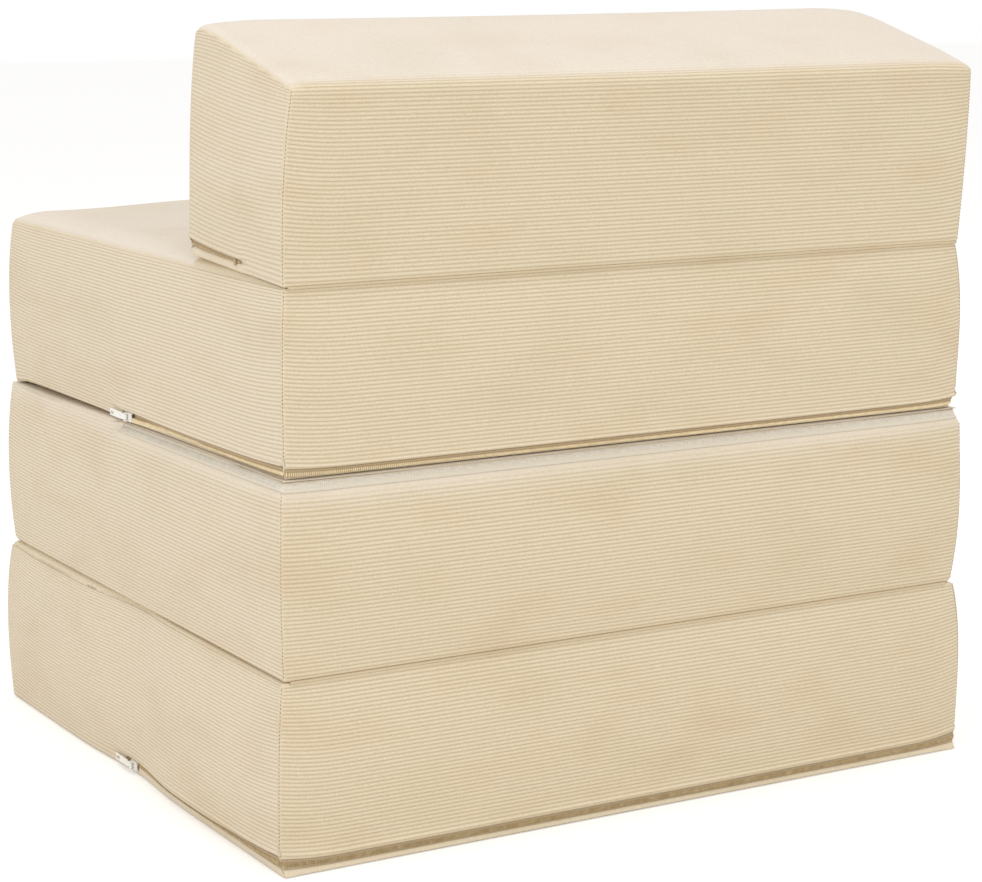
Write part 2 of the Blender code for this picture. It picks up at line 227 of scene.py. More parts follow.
def object_place(tree: bpy.types.NodeTree) -> bpy.types.NodeSocket:
    """The place on the object, in metres."""
    return add_node(tree, "ShaderNodeTexCoord").outputs["Object"]


def noise(tree: bpy.types.NodeTree, grain: float, detail: float) -> bpy.types.NodeSocket:
    """Smooth noise over the object, with grains of a size in metres."""
    inputs = {0: object_place(tree), 2: 1 / grain, 3: detail}
    return add_node(tree, "ShaderNodeTexNoise", inputs).outputs[0]


def seen_directly(tree: bpy.types.NodeTree) -> bpy.types.NodeSocket:
    """1 for what the camera sees, also in a mirror or through glass, and 0 for what only lights.

    Args:
        tree: The node tree of a material or of the surround.

    Returns:
        That share.
    """
    rays = add_node(tree, "ShaderNodeLightPath").outputs
    share = rays["Is Camera Ray"]
    for kind in ("Is Glossy Ray", "Is Transmission Ray"):
        share = add_node(tree, "ShaderNodeMath", {0: share, 1: rays[kind]}, operation="MAXIMUM").outputs[0]
    return share


def new_material(name: str, settings: dict[str, object]) -> tuple:
    """Starts a material.

    Args:
        name: The name of the finish.
        settings: A value for each input of its shader that differs from Blender's own.

    Returns:
        The material, its node tree and its shader.
    """
    material = bpy.data.materials.new(name)
    material.use_nodes = True
    shader = material.node_tree.nodes["Principled BSDF"]
    for key, value in settings.items():
        shader.inputs[key].default_value = value
    return material, material.node_tree, shader


def mesh_object(name: str, points: np.ndarray, faces: list, material: bpy.types.Material) -> bpy.types.Object:
    """Makes a smooth shaded mesh object in the scene, with its faces pointing out.

    Args:
        name: The object's name.
        points: Vertex positions, one row each.
        faces: Arrays of vertex numbers, each with one face a row.
        material: The finish.

    Returns:
        The new object, at the origin.
    """
    mesh = bpy.data.meshes.new(name)
    mesh.vertices.add(len(points))
    mesh.vertices.foreach_set("co", points.astype(np.float32).ravel())
    counts = np.concatenate([np.full(len(block), block.shape[1]) for block in faces])
    corners = np.concatenate([block.ravel() for block in faces])
    mesh.loops.add(len(corners))
    mesh.loops.foreach_set("vertex_index", corners.astype(np.int32))
    mesh.polygons.add(len(counts))
    starts = np.concatenate(([0], np.cumsum(counts)[:-1]))
    mesh.polygons.foreach_set("loop_start", starts.astype(np.int32))
    mesh.update(calc_edges=True)
    mesh.validate()
    surface = bmesh.new()
    surface.from_mesh(mesh)
    bmesh.ops.recalc_face_normals(surface, faces=surface.faces)
    surface.to_mesh(mesh)
    surface.free()
    mesh.shade_smooth()
    mesh.materials.append(material)
    thing = bpy.data.objects.new(name, mesh)
    bpy.context.scene.collection.objects.link(thing)
    return thing


def add_values(thing: bpy.types.Object, name: str, values: np.ndarray) -> None:
    """Stores one number for each vertex, for the material to read."""
    layer = thing.data.attributes.new(name, "FLOAT", "POINT")
    layer.data.foreach_set("value", values.astype(np.float32).ravel())


def quads(grid: np.ndarray) -> np.ndarray:
    """The faces between a grid's neighbouring vertices."""
    return np.stack((grid[:-1, :-1], grid[1:, :-1], grid[1:, 1:], grid[:-1, 1:]), -1).reshape(-1, 4)


def unit(vectors: np.ndarray) -> np.ndarray:
    """The vectors at length 1."""
    return vectors / np.maximum(np.linalg.norm(vectors, axis=-1, keepdims=True), 1e-12)


def rim(grid: np.ndarray) -> np.ndarray:
    """The vertices round a grid's border, in order."""
    return np.concatenate((grid[0], grid[1:, -1], grid[-1, -2::-1], grid[-2:0:-1, 0]))


def closed_sheet(outer: np.ndarray, inner: np.ndarray) -> tuple[np.ndarray, list]:
    """Joins two grids of points into the closed skin of a sheet.

    Args:
        outer: The grid on one face of the sheet.
        inner: The grid on its other face.

    Returns:
        The vertices and the faces.
    """
    top = np.arange(outer.shape[0] * outer.shape[1]).reshape(outer.shape[:2])
    bottom = top + top.size
    above, below = rim(top), rim(bottom)
    border = np.stack((above, np.roll(above, -1), np.roll(below, -1), below), -1)
    points = np.concatenate((outer.reshape(-1, 3), inner.reshape(-1, 3)))
    return points, [quads(top), quads(bottom)[:, ::-1], border]


def spindles(centres: np.ndarray, axes: np.ndarray, sizes: tuple[float, float, float], sides: int) -> tuple:
    """Makes a small closed spindle at each centre.

    Args:
        centres: Where they lie, one row each.
        axes: For each, the directions of its length, width and height.
        sizes: The length, width and height.
        sides: The number of sides round each.

    Returns:
        The vertices and the faces.
    """
    # Each ring's place along the spindle, and its width as a share of the whole
    rings = ((-0.36, 0.78), (0, 1), (0.36, 0.78)) if sides > 4 else ((-0.3, 1), (0.3, 1))
    shape = [(-0.5, 0, 0)]
    for place, radius in rings:
        for side in range(sides):
            angle = math.tau * side / sides
            shape.append((place, radius / 2 * math.cos(angle), radius / 2 * math.sin(angle)))
    shape.append((0.5, 0, 0))
    shape = np.array(shape) * np.array(sizes)
    points = centres[:, None, :] + np.einsum("ki,nij->nkj", shape, axes)
    around = np.arange(sides)
    beside = (around + 1) % sides
    last = len(shape) - 1
    end = last - sides
    caps = [np.stack((0 * around, 1 + beside, 1 + around), -1)]
    caps.append(np.stack((0 * around + last, end + around, end + beside), -1))
    bands = []
    for ring in range(len(rings) - 1):
        near, far = 1 + ring * sides, 1 + (ring + 1) * sides
        bands.append(np.stack((near + around, near + beside, far + beside, far + around), -1))
    starts = (np.arange(len(centres)) * len(shape))[:, None, None]
    triangles = (starts + np.concatenate(caps)[None]).reshape(-1, 3)
    squares = (starts + np.concatenate(bands)[None]).reshape(-1, 4)
    return points.reshape(-1, 3), [triangles, squares]


def march(points: np.ndarray, spacing: float) -> np.ndarray:
    """Places on a line of points at even spacing, as fractions of its point numbers."""
    way = np.concatenate(([0], np.cumsum(np.linalg.norm(np.diff(points, axis=0), axis=-1))))
    return np.interp(np.arange(spacing / 2, way[-1], spacing), way, np.arange(len(points)))


def between(rows: np.ndarray, places: np.ndarray) -> np.ndarray:
    """Reads rows of coordinates at fractions of their row numbers."""
    numbers = np.arange(len(rows))
    return np.stack([np.interp(places, numbers, rows[:, i]) for i in range(rows.shape[1])], -1)


class Edge(IntEnum):
    """Which end of a cushion carries its zip, as a corner of its side view."""

    BACK_LOW = 1
    BACK_HIGH = 2
    FRONT_LOW = 0


class Side(IntEnum):
    """A panel of the side view, counted from the bottom round by the back."""

    BOTTOM = 0
    BACK = 1
    TOP = 2
    FRONT = 3


UPRIGHT = (Side.BACK, Side.FRONT)


@dataclass(frozen=True)
class Panel:
    """A straight panel of the side view, with half of the rounding at both of its ends."""

    start: tuple[float, float]
    end: tuple[float, float]
    start_turn: float
    end_turn: float
    start_radius: float
    end_radius: float

    @property
    def span(self) -> float:
        """The length between the panel's two corners."""
        return math.dist(self.start, self.end)

    @property
    def arcs(self) -> tuple[float, float]:
        """The lengths of the half roundings at the start and the end."""
        return self.start_radius * self.start_turn / 2, self.end_radius * self.end_turn / 2

    @property
    def setbacks(self) -> tuple[float, float]:
        """How far from its corners the straight stretch starts and ends."""
        start = self.start_radius * math.tan(self.start_turn / 2)
        return start, self.end_radius * math.tan(self.end_turn / 2)

    @property
    def length(self) -> float:
        """The way along the panel, roundings included."""
        return self.span - sum(self.setbacks) + sum(self.arcs)

    def trace(self, share: np.ndarray) -> dict[str, np.ndarray]:
        """Follows the panel.

        Args:
            share: How far along each point is, from 0 to 1.

        Returns:
            The points and outward normals in the YZ plane, the share of the straight stretch
            and the distances from both corners.
        """
        along = np.subtract(self.end, self.start) / self.span
        normal = np.array((along[1], -along[0]))
        start_arc = self.arcs[0]
        start_setback, end_setback = self.setbacks
        straight = self.span - start_setback - end_setback
        way = share * self.length
        on_straight = np.clip(way - start_arc, 0, straight)
        turn = -np.clip(start_arc - way, 0, None) / max(self.start_radius, 1e-9)
        turn = turn + np.clip(way - start_arc - straight, 0, None) / max(self.end_radius, 1e-9)
        radius = np.where(turn < 0, self.start_radius, self.end_radius)
        base = np.add(self.start, along * start_setback) + on_straight[:, None] * along
        cos, sin = np.cos(turn)[:, None], np.sin(turn)[:, None]
        normals = normal * cos + along * sin
        points = base + radius[:, None] * (normals - normal)
        position = (points - np.array(self.start)) @ along
        return {
            "point": points,
            "normal": normals,
            "share": on_straight / straight,
            "low": position,
            "high": self.span - position,
        }


@dataclass(frozen=True)
class Lift:
    """Where a cushion's edge sits higher than its seam, because the stacked foam gives.

    heights gives how far the edge rises at places along Y, falloff is how far from the edge
    the fabric still moves, and power is how fast that fades.
    """

    heights: tuple[tuple[float, float], ...]
    seam: float
    falloff: float
    power: float
    sides: tuple[int, ...] = (1, -1)

    def shift(self, points: np.ndarray) -> np.ndarray:
        """Works out the rise.

        Args:
            points: Points of the cushion before it settles.

        Returns:
            How far each point rises. A rise of one side fades in over the middle of the bed.
        """
        distance = np.abs(points[..., 2] - self.seam) / self.falloff
        fade = np.clip(1 - distance, 0, 1) ** self.power
        places, rises = zip(*self.heights)
        rise = np.interp(points[..., 1], places, rises)
        if len(self.sides) == 1:
            rise = rise * smooth((self.sides[0] * points[..., 0] / HALF_WIDTH - 0.3) / 0.6)
        return rise * fade


@dataclass
class Cushion:
    """One foam block in its zipped corduroy cover.

    The cover is one panel that runs round the block from its underside, up the back, over the
    top and down the front, between two side panels.
    """

    name: str
    # The corners of the side view and their radii, from the front foot round by the back
    seams: tuple[tuple[float, float], ...]
    radii: tuple[float, ...]
    # How far the long panel swells on each face, in the order of Side, and the side panels
    crowns: tuple[float, ...]
    side_crown: float
    # The zip: the cover between seam and opening, its way along the side and its coil's middle
    zip_edge: Edge
    zip_lip: float
    zip_start: float
    zip_centre: float
    zip_opening: float = 8 * MM
    zip_depth: float = 1.2 * MM
    # The lip and opening at the zip's ends, and how far from the corner they are reached
    zip_narrow: tuple[float, float] = (0, 0)
    narrow_reach: float = 355 * MM
    coil_drift: float = 0
    # What the zip does to the cover: a hem, a pinch at the seam, a sloping band and a slit
    hem: float = 0.6 * MM
    pinch: float = 0.1
    chamfer: float = 0
    slit: float = 0
    rib_fade: float = 1.5 * MM
    slider_side: int = 1
    slider_run: tuple[float, float] = (SLIDER_PLACE, SLIDER_PLACE)
    # How far bottom and top drop to their side seams, what is left of that at the front end,
    # and the top's drop at places along Y where it varies
    drops: tuple[float, float] = (2 * MM, 2 * MM)
    front_drops: tuple[float, float] = (1, 1)
    top_drops: tuple[tuple[float, float], ...] = ()
    drop_reach: float = 10 * MM
    end_round: tuple[float, float] = (36 * MM, 1.6 * MM)
    seam_soft: float = 0.5
    # What is left of the swell at the corners of the ends and of the sides
    corner_hold: float = 0.6
    side_hold: float = 0.55
    top_power: float = 6
    curl: float = 5 * MM
    # The height of a domed top at its rim and in its middle
    pillow: tuple[float, float] | None = None
    top_shown: bool = False
    # How strongly the pile below the top edge is worn flat and paled with painted sheen
    worn_edge: float = 0
    # How much the sloping top seam cuts off the side panel's ribs
    rib_cut: float = 0
    # Where the stacked foam gives, spreads and leans
    lifts: tuple[Lift, ...] = ()
    spread: float = 0
    back_spread: float = 0
    left_spread: float = 0
    toe: float = 0
    rise: tuple[float, float] = (0, 0)
    taper: float = 0
    sags: tuple[tuple[int, int, float], ...] = ()

    def __post_init__(self) -> None:
        """Works out the panels of the side view."""
        directions = []
        for i in range(4):
            start, end = self.seams[i], self.seams[(i + 1) % 4]
            directions.append(math.atan2(end[1] - start[1], end[0] - start[0]))
        turns = [(directions[i] - directions[i - 1]) % math.tau for i in range(4)]
        self.panels = [
            Panel(
                self.seams[i],
                self.seams[(i + 1) % 4],
                turns[i],
                turns[(i + 1) % 4],
                self.radii[i],
                self.radii[(i + 1) % 4],
            )
            for i in range(4)
        ]

    def barrel(
        self, share: np.ndarray, low: np.ndarray, high: np.ndarray, held: np.ndarray, pressed: float = 0
    ) -> np.ndarray:
        """The swell over a panel's height, held flat where a zip runs.

        Args:
            share: The share of the panel's straight stretch.
            low: Distance from the lower seam.
            high: Distance from the upper seam.
            held: From 0 to 1, how much the zip holds the fabric here.
            pressed: From 0 to 1, how flat the zip lies, as it does beside its slider.

        Returns:
            The swell as a share of the crown.
        """
        swell = 1 - np.abs(2 * share - 1) ** SWELL_POWER
        distance = self.from_zip_seam(low, high)
        band = max(self.zip_lip + self.zip_opening + BAND_MARGIN, self.chamfer)
        full = swell + EDGE_FULLNESS * (1 - smooth(distance / EDGE_REACH)) * (1 - swell)
        slope = np.clip(distance / band, 0, 1) ** BAND_POWER
        sloped = (full * slope - self.pinch * (1 - slope)) * (1 - pressed)
        free = full * smooth((distance - band + BAND_MARGIN) / BAND_STEP) * pressed + sloped
        return swell * (1 - held) + free * held

    @property
    def zip_panel(self) -> Side:
        """The upright panel that the zip crosses."""
        return Side.FRONT if self.zip_edge is Edge.FRONT_LOW else Side.BACK

    @property
    def zip_facing(self) -> int:
        """1 where the zip crosses the back, and -1 where it crosses the front."""
        return 1 if self.zip_panel is Side.BACK else -1

    def from_zip_seam(self, low: np.ndarray, high: np.ndarray) -> np.ndarray:
        """Of the distances from the lower and the upper seam, those from the zip's."""
        return high if self.zip_edge is Edge.BACK_HIGH else low

    def past_opening(self, distance: np.ndarray) -> np.ndarray:
        """How far beyond the zip's opening each distance from its seam lies."""
        return distance - self.zip_lip - self.zip_opening

    def channel(self, distance: np.ndarray, held: np.ndarray) -> np.ndarray:
        """Works out how far the cover steps back to the zip's tape, and out at the folded hem.

        Args:
            distance: Distances from the zip's seam.
            held: From 0 to 1, how much the zip holds the fabric here.

        Returns:
            The step, above 0 where it goes out.
        """
        past = self.past_opening(distance)
        inside = smooth((distance - self.zip_lip + CHANNEL_EDGE / 2) / CHANNEL_EDGE)
        inside = inside * (1 - smooth((past + CHANNEL_EDGE / 2) / CHANNEL_EDGE))
        hem = smooth(past / HEM_RISE) * (1 - smooth((past - HEM_WIDTH) / HEM_FALL))
        return held * (self.hem * hem - self.zip_depth * inside)

    def rib_hold(self, distance: np.ndarray, held: np.ndarray) -> np.ndarray:
        """1 where the fabric shows its ribs, and 0 beside the zip."""
        return 1 - held * (1 - smooth(self.past_opening(distance) / self.rib_fade))

    def domed(self, run: dict[str, np.ndarray], inset: np.ndarray) -> np.ndarray:
        """Works out the seat's dome, which the backrest's foot presses down.

        Args:
            run: What the top panel's trace gives.
            inset: Distances from the nearer side seam.

        Returns:
            The dome's height above the seams, one row for each point of the trace.
        """
        rim_height, middle_height = self.pillow
        height = rim_height + (middle_height - rim_height) * smooth((inset - DOME_RIM) / DOME_SLOPE)
        round_end = self.shoulder(np.minimum(run["low"], run["high"]) / DOME_END)
        crown = round_end[:, None] * (height * self.shoulder(inset / DOME_SIDE))[None, :]
        y = run["point"][:, 0]
        foot = BACKREST_FRONT_LIFT * (HALF_DEPTH - y) / BACKREST_FOOT_DEPTH
        free = smooth((BACKREST_FRONT + FOOT_MARGIN - y) / FOOT_BLEND)[:, None]
        return crown * free + np.minimum(crown, foot[:, None]) * (1 - free)

    def wrap(self, panel: int, share: np.ndarray, x: np.ndarray) -> tuple[np.ndarray, np.ndarray]:
        """Places the long panel that runs round the block.

        Args:
            panel: Which panel of the side view, from 0 to 3.
            share: How far along that panel, from 0 to 1.
            x: Positions from seam to seam, across the block.

        Returns:
            The points, and how much of the ribs shows at each.
        """
        run = self.panels[panel].trace(share)
        inset = HALF_WIDTH - np.abs(x)
        across = np.abs(x / HALF_WIDTH)
        low, high = run["low"], run["high"]
        if panel == Side.FRONT:
            low, high = high, low
        distance = self.from_zip_seam(low, high)
        held = np.ones_like(low) if panel == self.zip_panel else np.zeros_like(low)
        upright = panel in UPRIGHT
        if upright:
            barrel = self.barrel(run["share"], low, high, held)
            spread = self.corner_hold + (1 - self.corner_hold) * (1 - across**3)
        else:
            barrel = 1 - np.abs(2 * run["share"] - 1) ** self.top_power
            spread = 1 - across**8
        if self.pillow and panel == Side.TOP:
            crown = self.domed(run, inset)
        else:
            crown = self.crowns[panel] * barrel[:, None] * spread[None, :]
        level, rise = run["normal"][:, 0] ** 2, run["normal"][:, 1] ** 2
        reach, depth = self.end_round
        drop = rise * self.seam_drop(run["point"][:, 0], run["point"][:, 1])
        crown = crown - depth * level[:, None] * (1 - self.shoulder(inset / reach))[None, :]
        crown = crown - drop[:, None] * (1 - self.shoulder(inset / self.drop_reach))[None, :]
        crown = crown + self.channel(distance, held)[:, None]
        beside_slit = np.abs(self.past_opening(distance) - SLIT_PLACE)
        slit = 1 + self.slit * held * (1 - smooth(beside_slit / SLIT_REACH))
        recess = SEAM_RECESS * (1 - smooth(inset / SEAM_RECESS_REACH))
        recess = (slit * (1 - self.seam_soft * rise))[:, None] * recess[None, :]
        crown = crown - SEAM_SINK * recess
        seam_swell = self.side_crown * self.side_hold * (barrel if upright else 0 * barrel)
        points = np.empty((len(share), len(x), 3))
        points[..., 0] = x[None, :] * (1 + seam_swell[:, None] / HALF_WIDTH) - np.sign(x)[None, :] * recess
        points[..., 1] = run["point"][:, :1] + run["normal"][:, :1] * crown
        points[..., 2] = run["point"][:, 1:] + run["normal"][:, 1:] * crown
        if upright:
            bend = self.curl * np.clip(1 - inset / END_CURL_REACH, 0, 1) ** 2
            points[..., 2] += bend[None, :] * (np.clip(barrel, 0, None) ** CURL_POWER)[:, None]
        plain = 0 if upright or self.pillow else PLAIN_BORDER
        shown = smooth((inset - plain) / (RIB_END + plain))
        return points, self.rib_hold(distance, held)[:, None] * shown[None, :]

    @staticmethod
    def shoulder(share: np.ndarray) -> np.ndarray:
        """A rounded step, from 0 at 0 to 1 at 1."""
        return np.sqrt(1 - (1 - np.clip(share, 0, 1)) ** 2)

    def seam_drop(self, y: np.ndarray, z: np.ndarray) -> np.ndarray:
        """Works out how far a level panel turns down to its side seams, less where a zip runs.

        Args:
            y: Places along the panel.
            z: Their heights, which tell the top from the bottom.

        Returns:
            The drop at each place.
        """
        middle = (self.seams[0][1] + self.seams[2][1]) / 2
        top = np.interp(y, *zip(*self.top_drops)) if self.top_drops else self.drops[1]
        drop = np.where(z > middle, top, self.drops[0])
        corner = self.seams[self.zip_edge][0]
        held = 1 - smooth((self.zip_facing * (corner - y) - self.zip_start) / ZIP_FADE)
        held = np.where((z > middle) == (self.zip_edge is Edge.BACK_HIGH), held, 0)
        front = np.where(z > middle, self.front_drops[1], self.front_drops[0])
        drop = drop * (1 + (front - 1) * (1 - smooth((y + HALF_DEPTH) / FRONT_REACH)))
        return drop * (1 - held)

    def seam_line(self, panel: int, share: np.ndarray, side: int) -> np.ndarray:
        """Points in the YZ plane along the side seam."""
        points, _ = self.wrap(panel, share, np.array([side * HALF_WIDTH]))
        return points[:, 0, 1:]

    def side(self, side: int, back: np.ndarray, up: np.ndarray) -> tuple[np.ndarray, np.ndarray]:
        """Places a side panel, spread between its four seams.

        Args:
            side: 1 or -1, which side of the block.
            back: Shares from front to back.
            up: Shares from bottom to top, as a column or as one row for each height.

        Returns:
            The points, and how much of the ribs shows at each.
        """
        bottom = self.seam_line(0, back, side)[None]
        top = self.seam_line(2, 1 - back, side)[None]
        rear = self.seam_line(1, up.ravel(), side).reshape(*up.shape, 2)
        front = self.seam_line(3, 1 - up.ravel(), side).reshape(*up.shape, 2)
        front_low, rear_low = self.seam_line(0, np.array((0.0, 1.0)), side)
        rear_high, front_high = self.seam_line(2, np.array((0.0, 1.0)), side)
        a, t = back[None, :, None], up[..., None]
        flat = (1 - t) * bottom + t * top + (1 - a) * front + a * rear
        flat = flat - (1 - a) * ((1 - t) * front_low + t * front_high)
        flat = flat - a * ((1 - t) * rear_low + t * rear_high)
        height = np.linalg.norm(top - bottom, axis=-1)
        depth = np.linalg.norm(rear - front, axis=-1)
        low, high = up * height, (1 - up) * height
        from_corner = (back if self.zip_panel is Side.FRONT else 1 - back)[None, :] * depth
        held = 1 - smooth((from_corner - self.zip_start) / ZIP_FADE)
        pressed = self.beside_slider(bottom[..., 0], side)
        bounds, full_bounds = self.zip_bounds(from_corner), (self.zip_lip, self.zip_opening)
        if self.zip_edge is Edge.BACK_HIGH:
            high = self.rescaled(high, bounds, full_bounds)
        else:
            low = self.rescaled(low, bounds, full_bounds)
        barrel = self.barrel(up + 0 * low, low, high, held, pressed)
        edge = np.abs(2 * back - 1)[None, :]
        spread = self.side_hold + (1 - self.side_hold) * (1 - edge**4)
        distance = self.from_zip_seam(low, high)
        swell = self.side_crown * barrel * spread + self.channel(distance, held)
        points = np.empty(flat.shape[:2] + (3,))
        points[..., 0] = side * (HALF_WIDTH + swell)
        points[..., 1:] = flat
        reach = np.minimum(back, 1 - back) * self.panels[0].length
        bend = self.curl * np.clip(1 - reach / SIDE_CURL_REACH, 0, 1) ** 2
        points[..., 2] += bend[None, :] * np.clip(4 * up * (1 - up), 0, 1) ** CURL_POWER
        return points, self.rib_hold(distance, held)

    def zip_bounds(self, from_corner: np.ndarray) -> tuple[np.ndarray, np.ndarray]:
        """Works out how the zip's band narrows along a side panel.

        Args:
            from_corner: Distances from the upright corner where the zip comes round.

        Returns:
            The lip and the opening at each distance.
        """
        share = np.clip(from_corner / self.narrow_reach, 0, 1)
        lip, opening = self.zip_narrow if self.zip_narrow[1] else (self.zip_lip, self.zip_opening)
        lips = self.zip_lip + (lip - self.zip_lip) * share
        return lips, self.zip_opening + (opening - self.zip_opening) * share

    @staticmethod
    def rescaled(distance: np.ndarray, old: tuple, new: tuple) -> np.ndarray:
        """Turns distances from the seam for one width of the zip into those for another.

        Args:
            distance: The distances from the seam beside the zip.
            old: The lip and the opening that they are for.
            new: The lip and the opening that they are wanted for.

        Returns:
            The distances, stretched over the lip and the opening and moved along past them.
        """
        inside = np.clip(distance - old[0], 0, old[1]) * new[1] / old[1]
        past = np.clip(distance - old[0] - old[1], 0, None)
        return np.clip(distance, None, old[0]) * new[0] / old[0] + inside + past

    def beside_slider(self, y: np.ndarray, side: int | np.ndarray) -> np.ndarray:
        """Works out where the slider lies or runs.

        Args:
            y: Places along Y.
            side: Below 0 on the left side and above 0 on the right.

        Returns:
            1 beside the slider, falling to 0 away from it, and 0 on the other side.
        """
        near, far = self.slider_run
        away = np.clip(near - y, 0, None) + np.clip(y - far, 0, None)
        return np.where(np.sign(side) == self.slider_side, np.exp(-((away / SLIDER_REACH) ** 2)), 0)

    def zip_path(self, distances: np.ndarray, step: float, turn: float, narrow: bool = True) -> np.ndarray:
        """Follows the zip's opening, from its end on the right side round to its end on the left.

        Args:
            distances: How far each row of points lies from the seam beside the zip.
            step: The way between two points of a row.
            turn: How far from the corners the rows start to turn.
            narrow: Whether the rows draw together where the opening narrows.

        Returns:
            The points, one row for each distance.
        """
        front = self.zip_edge is Edge.FRONT_LOW
        high = self.zip_edge is Edge.BACK_HIGH
        shape = self.panels[self.zip_panel]
        corner = int(front or high)
        shares = (distances - shape.setbacks[corner] + shape.arcs[corner]) / shape.length
        x = np.linspace(HALF_WIDTH - turn, turn - HALF_WIDTH, round(BED_WIDTH / step) + 1)
        across, _ = self.wrap(self.zip_panel, 1 - shares if corner else shares, x)
        run = np.linspace(self.zip_start, turn, round(self.zip_start / step) + 1)
        beside = distances[:, None]
        if narrow:
            full_bounds = (self.zip_lip, self.zip_opening)
            beside = self.rescaled(beside, full_bounds, self.zip_bounds(run[None, :]))
        run = run / self.panels[0].length
        back = run if front else 1 - run
        tall = np.linalg.norm(self.seam_line(2, 1 - back, 1) - self.seam_line(0, back, 1), axis=-1)
        up = beside / tall[None, :]
        up = 1 - up if high else up
        first, _ = self.side(1, back, up)
        last, _ = self.side(-1, back[::-1], up[:, ::-1])
        into = self.corner_turn(first[:, -1], across[:, 0])
        out = self.corner_turn(last[:, 0], across[:, -1])[:, ::-1]
        return self.settle(np.concatenate((first, into, across, out, last), axis=1))

    @staticmethod
    def corner_turn(side: np.ndarray, end: np.ndarray) -> np.ndarray:
        """Follows curves round a corner, from a side panel to the panel across the end.

        Args:
            side: The last point of each row on the side panel.
            end: The first point of each row on the other panel.

        Returns:
            The points between them, one row for each curve.
        """
        control = np.stack((side[:, 0], end[:, 1], (side[:, 2] + end[:, 2]) / 2), -1)[:, None]
        share = (np.arange(1, CORNER_STEPS + 1) / (CORNER_STEPS + 1))[None, :, None]
        curve = (1 - share) ** 2 * side[:, None] + 2 * share * (1 - share) * control
        return curve + share**2 * end[:, None]

    def rows(self, panel: int) -> int:
        """Counts the ribs on a panel. Those on the upright panels meet those on the sides.

        Args:
            panel: Which panel of the side view, from 0 to 3.

        Returns:
            The number of ribs.
        """
        if panel in UPRIGHT and not self.rib_cut:
            return round(max(self.panels[side].length for side in UPRIGHT) / RIB_PITCH)
        return round(self.panels[panel].length / RIB_PITCH)

    @staticmethod
    def rib_shares(count: int) -> tuple[np.ndarray, np.ndarray]:
        """Lays out the points that draw ribs.

        Args:
            count: The number of ribs.

        Returns:
            The points' places, from 0 to 1, and their heights.
        """
        shares = (np.arange(count)[:, None] + np.array(RIB_PHASES)[None, :]) / count
        return shares.ravel(), np.tile(np.array(RIB_RISES), count)

    def cut_ribs(self, back: np.ndarray, up: np.ndarray) -> np.ndarray:
        """Rib heights on a side panel where the ribs run into a sloping top seam.

        Args:
            back: Shares from front to back.
            up: Shares from bottom to top.

        Returns:
            The heights, one row for each share up.
        """
        rear, front = (self.panels[side].length for side in UPRIGHT)
        tall = back * rear + (1 - back) * front * rear / (rear + self.rib_cut)
        phase = (up[:, None] * tall[None, :] / rear * self.rows(Side.BACK)) % 1
        return np.interp(phase, (*RIB_PHASES, 1), (*RIB_RISES, 0))

    def wear(self, points: np.ndarray) -> np.ndarray:
        """How far the pile is worn flat below the top edge, which also takes the paler painted sheen there.
        """
        below = self.seams[2][1] - points[..., 2]
        return self.worn_edge * (1 - smooth(below / WORN_AND_SHEEN_REACH))

    @staticmethod
    def spacing(length: float) -> np.ndarray:
        """Lays out columns, close together near both ends and 26 mm apart between them.

        Args:
            length: The way from end to end.

        Returns:
            Shares from 0 to 1.
        """
        marks = [0, 1.4, 3.4, 6, 9, 13, 18, 25, 34, 46, 60]
        near = np.array(marks) * MM / length
        count = max(2, round((1 - 2 * near[-1]) * length / (26 * MM)))
        middle = np.linspace(near[-1], 1 - near[-1], count + 1)
        return np.concatenate((near[:-1], middle, 1 - near[:-1][::-1]))

    def level_nap_and_sheen(self, panel: int, shares: np.ndarray, inset: np.ndarray, y: np.ndarray) -> np.ndarray:
        """Works out how much painted sheen pales a level panel and how far its ribs lie brushed flat, less
        near its seams.

        Args:
            panel: Which panel of the side view, from 0 to 3.
            shares: Places along the panel, from 0 to 1.
            inset: Distances from the nearer side seam.
            y: Where each point lies along Y.

        Returns:
            That share from 0 to 1, one row for each share.
        """
        shown = self.top_shown and panel == Side.TOP
        from_ends, border, from_sides = (14 * MM, 0, 1 * MM) if shown else (30 * MM, 14 * MM, 30 * MM)
        along = smooth(np.minimum(shares, 1 - shares) * self.panels[panel].length / from_ends)
        nap_and_sheen = along[:, None] * smooth((inset - border) / from_sides)[None, :]
        if shown and self.pillow:
            # Behind the backrest's front, where it shades the seat, the painted sheen gives way to the ribs'
            # own tones
            behind = smooth((y - BACKREST_FRONT + 4 * MM) / (12 * MM))
            nap_and_sheen = nap_and_sheen * (1 - behind * (1 - smooth(inset / (40 * MM)))[None, :])
        return nap_and_sheen

